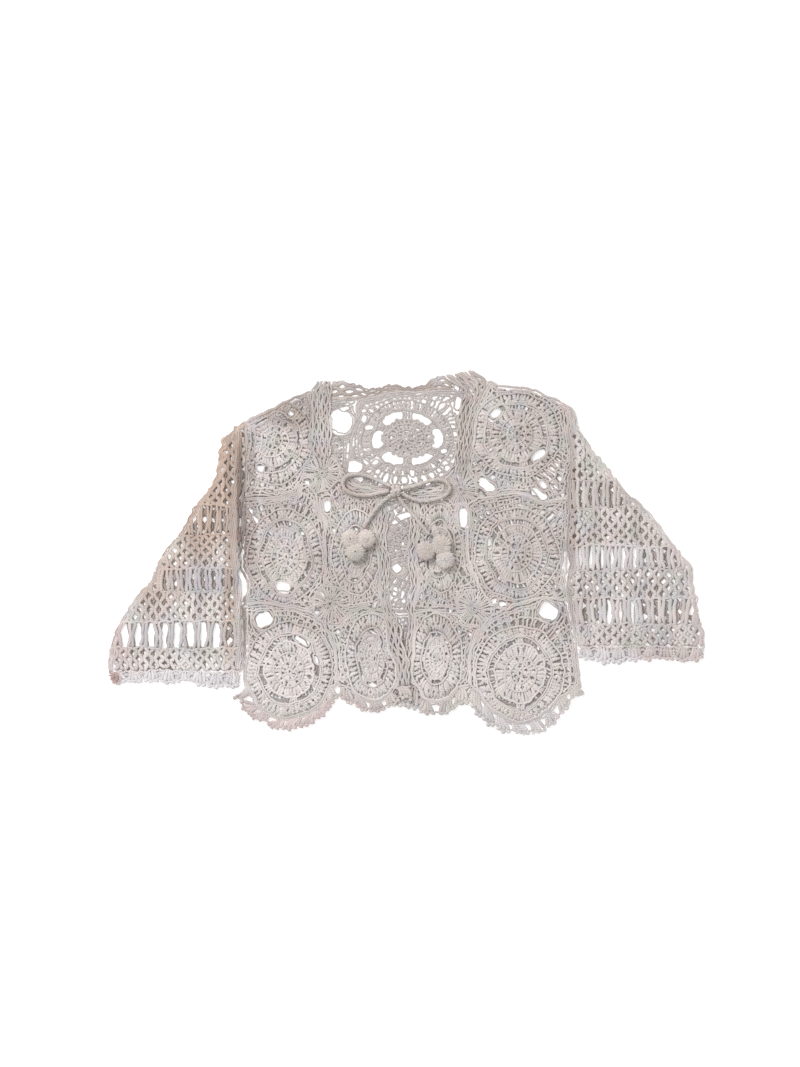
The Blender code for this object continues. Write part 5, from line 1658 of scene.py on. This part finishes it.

# Patches of colour, some of them painted shade as noted. Columns: centre x, y, half-sizes in mm, colour,
# strength
FRONT_PATCHES = (
    (-150, -155, 80, 55, PALE, 0.7),
    (0, -150, 90, 50, PALE, 0.6),
    (145, -155, 80, 55, PALE, 0.6),
    # Painted shade where the left shoulder slopes away
    (-150, 190, 45, 30, BROWN, 0.45),
    # Painted shadow along the fold at the left armhole and down the side
    (-198, 60, 8, 90, BROWN, 0.45),
    (-207, 0, 4, 170, FOLD_SHADOW_BROWN, 0.6),
)
# The back's cotton is painted darker as shade under the front layer; these patches make it lighter where it
# lies open, at the neck and in the front opening.
BACK_PATCHES = (
    (0, 150, 110, 75, linear(208, 200, 196), 0.9),
    (-8, 0, 26, 90, linear(208, 200, 197), 0.8),
)
SLEEVE_PATCHES = (
    (-262, 75, 52, 85, TAN, 0.75),
    (-225, 150, 30, 35, TAN, 0.6),
    (-310, -30, 40, 40, TAN, 0.4),
    (-250, -32, 48, 20, GREY_BLUE, 0.55),
    (-290, -102, 75, 20, GREY_BLUE, 0.35),
    (-290, -142, 70, 16, PALE, 0.6),
    # Painted shade and shadow of the fold beside the left armhole
    (-222, 40, 9, 140, BROWN, 0.35),
    (-211, 62, 5.0, 84, FOLD_SHADOW_BROWN, 0.75),
    # Painted shade of the fold beside the right armhole
    (208, 60, 8, 120, BROWN, 0.5),
    (280, -4, 60, 20, LILAC_WHITE, 0.5),
    (280, -72, 60, 18, LILAC_WHITE, 0.3),
    (-226, -60, 8, 90, TAN, 0.5),
    # Painted shadow of the fold under the left arm
    (-203, -60, 4, 90, FOLD_SHADOW_BROWN, 0.5),
    (-372, -110, 18, 50, PINK, 0.5),
    (370, -90, 18, 50, PINK, 0.3),
)
EDGING_PATCHES = (
    (-160, -215, 75, 35, PINK, 0.5),
    (-80, -200, 30, 22, PINK, 0.5),
    (330, -130, 50, 16, PINK, 0.4),
    (250, -135, 45, 16, LILAC_WHITE, 0.8),
    (-290, -162, 100, 18, LILAC_WHITE, 0.9),
    (-375, -158, 12, 14, linear(186, 152, 146), 0.8),
    (140, -215, 90, 30, LILAC_WHITE, 0.5),
    (-105, 200, 20, 35, BROWN, 0.25),
    (80, 215, 30, 30, BROWN, 0.35),
    (72, 160, 14, 55, BROWN, 0.3),
    (-20, 206, 90, 18, BROWN, 0.5),
)

# Columns: the yarn's light and dark tones, and its patches of colour and painted shade
MATERIALS = {
    "fronts": yarn("cotton_fronts", linear(228, 219, 214), linear(210, 199, 194), FRONT_PATCHES),
    # Painted shade: the back's tones are darker than the fronts', for the shade under the front layer.
    "back": yarn("cotton_back_painted_shade", linear(186, 177, 173), linear(170, 160, 156), BACK_PATCHES),
    "sleeves": yarn("cotton_sleeves", linear(230, 222, 218), linear(214, 204, 200), SLEEVE_PATCHES),
    # Painted shade: the sleeves' back layer is darker than their front, and browner under the tan of the left
    # sleeve, for the shade under the front layer.
    "sleeve_backs": yarn(
        "cotton_sleeve_backs", linear(190, 177, 168), linear(172, 158, 149), ((-262, 95, 60, 90, BROWN, 0.5),)
    ),
    "edging": yarn("cotton_edging", linear(229, 221, 216), linear(211, 201, 196), EDGING_PATCHES),
    "tie": yarn("cotton_tie", linear(220, 211, 204), linear(203, 192, 184)),
    "puff": yarn("cotton_puff", linear(232, 224, 216), linear(216, 205, 197), ply=5.0, spread=0.05),
}


# Pieces

PUFF_SEED, KNOT_SEED, CORD_SEED = 900, 910, 920
RESTS = {"fronts": ("back_left_mid", "back_mid_mid", "back_right_mid"), "back": ()}


def shown(piece, node, slot):
    """The piece rides with the garment and stands for its solid."""
    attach(piece, "root")
    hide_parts(node)


def add_cloth(strands, area, material, slot, rests_on=(), run=None):
    """Builds a piece and shows it in place of its solid. The area, its outline's, and run, a narrow piece's
    length, are not used.
    """
    piece = strands.build(material)
    shown(piece, strands.name, slot)


def add_tie():
    for k, name in enumerate(PUFF_LOBES):
        made = puff(name, PUFF_SEED + k)
        shown(made, name, "tie")
    shown(knot(KNOT_SEED), "tie_knot", "tie")
    for k, (name, points) in enumerate(TIE_ROUTES.items()):
        cord, route = tie_cord(name, CORD_SEED + k)
        shown(cord, name, "tie")


def add_cloths():
    """All the pieces of cloth, each with a seed of its own."""
    seeds = itertools.count(1)
    for name, outline in block_outlines().items():
        slot = "fronts" if name.startswith("front") else "back"
        add_cloth(*block(name, outline, next(seeds)), slot, slot, RESTS[slot])
    for name in STARS:
        slot = "fronts" if name.startswith("front") else "back"
        add_cloth(*star(name, next(seeds)), slot, slot, RESTS[slot])
    for side in ("left", "right"):
        for layer in ("front", "back"):
            is_front = layer == "front"
            material = "sleeves" if is_front else "sleeve_backs"
            under = (f"sleeve_{side}_back",) if is_front else ()
            add_cloth(*sleeve(f"sleeve_{side}_{layer}", next(seeds)), material, "sleeves", under)
            run = length_of(CUFF_EDGES[side])
            add_cloth(*cuff(f"cuff_{side}_{layer}", next(seeds)), "edging", "edging", run=run)
    for name, rows in HEM_SCALLOPS.items():
        run = sum(length_of(scallop(*row)) for row in rows)
        add_cloth(*hem(name, next(seeds)), "edging", "edging", run=run)
    for name, (inner, outer, _) in STRIPS.items():
        run = (length_of(inner) + length_of(outer)) / 2
        add_cloth(*ribbed_strip(name, next(seeds)), "edging", "edging", run=run)


# Studio

LENS = 85
CLOTH_MIDDLE = 0.004  # height of the plane that has the photograph's scale
FLOOR_HALF, FLOOR_DROP = 6.0, 0.0003
WORLD_LIGHT = 0.6
LAMP_POWER, LAMP_SIZE = 47.0, 1.2
LAMP_AT = (-1.3, 1.5, 2.0)


def camera():
    """Straight down on the photograph's centre, from where the plan's scale is the photograph's."""
    middle_x = (PHOTO_SIZE[0] / 2 - PLAN_ORIGIN_PIXEL[0]) * MM_PER_PIXEL * MM
    middle_y = (PLAN_ORIGIN_PIXEL[1] - PHOTO_SIZE[1] / 2) * MM_PER_PIXEL * MM
    data = bpy.data.cameras.new("camera")
    data.lens = LENS
    far = PHOTO_SIZE[1] * MM_PER_PIXEL * MM * data.lens / data.sensor_width
    obj = linked("camera", data)
    obj.location = (middle_x + TO_ROW[0], middle_y + TO_ROW[1], far + CLOTH_MIDDLE)
    bpy.context.scene.camera = obj


def studio():
    """A plain white floor, even light from all round and a large soft lamp from the upper left."""
    mesh = bpy.data.meshes.new("floor")
    half = FLOOR_HALF
    corners = [(-half, -half, 0), (half, -half, 0), (half, half, 0), (-half, half, 0)]
    mesh.from_pydata(corners, [], [(0, 1, 2, 3)])
    mesh.materials.append(plain_floor())
    floor = linked("floor", mesh)
    floor.location.z = -FLOOR_DROP

    world = bpy.data.worlds.new("studio")
    world.use_nodes = True
    background = world.node_tree.nodes["Background"].inputs
    background[0].default_value = (1.0, 1.0, 1.0, 1.0)
    background[1].default_value = WORLD_LIGHT
    bpy.context.scene.world = world

    data = bpy.data.lights.new("lamp", "AREA")
    data.shape = "DISK"
    data.size = LAMP_SIZE
    data.energy = LAMP_POWER
    lamp = linked("lamp", data)
    lamp.location = LAMP_AT
    lamp.rotation_euler = (-lamp.location).to_track_quat("-Z", "Y").to_euler()


bpy.context.scene.view_settings.view_transform = "Standard"
camera()
add_tie()
add_cloths()
studio()
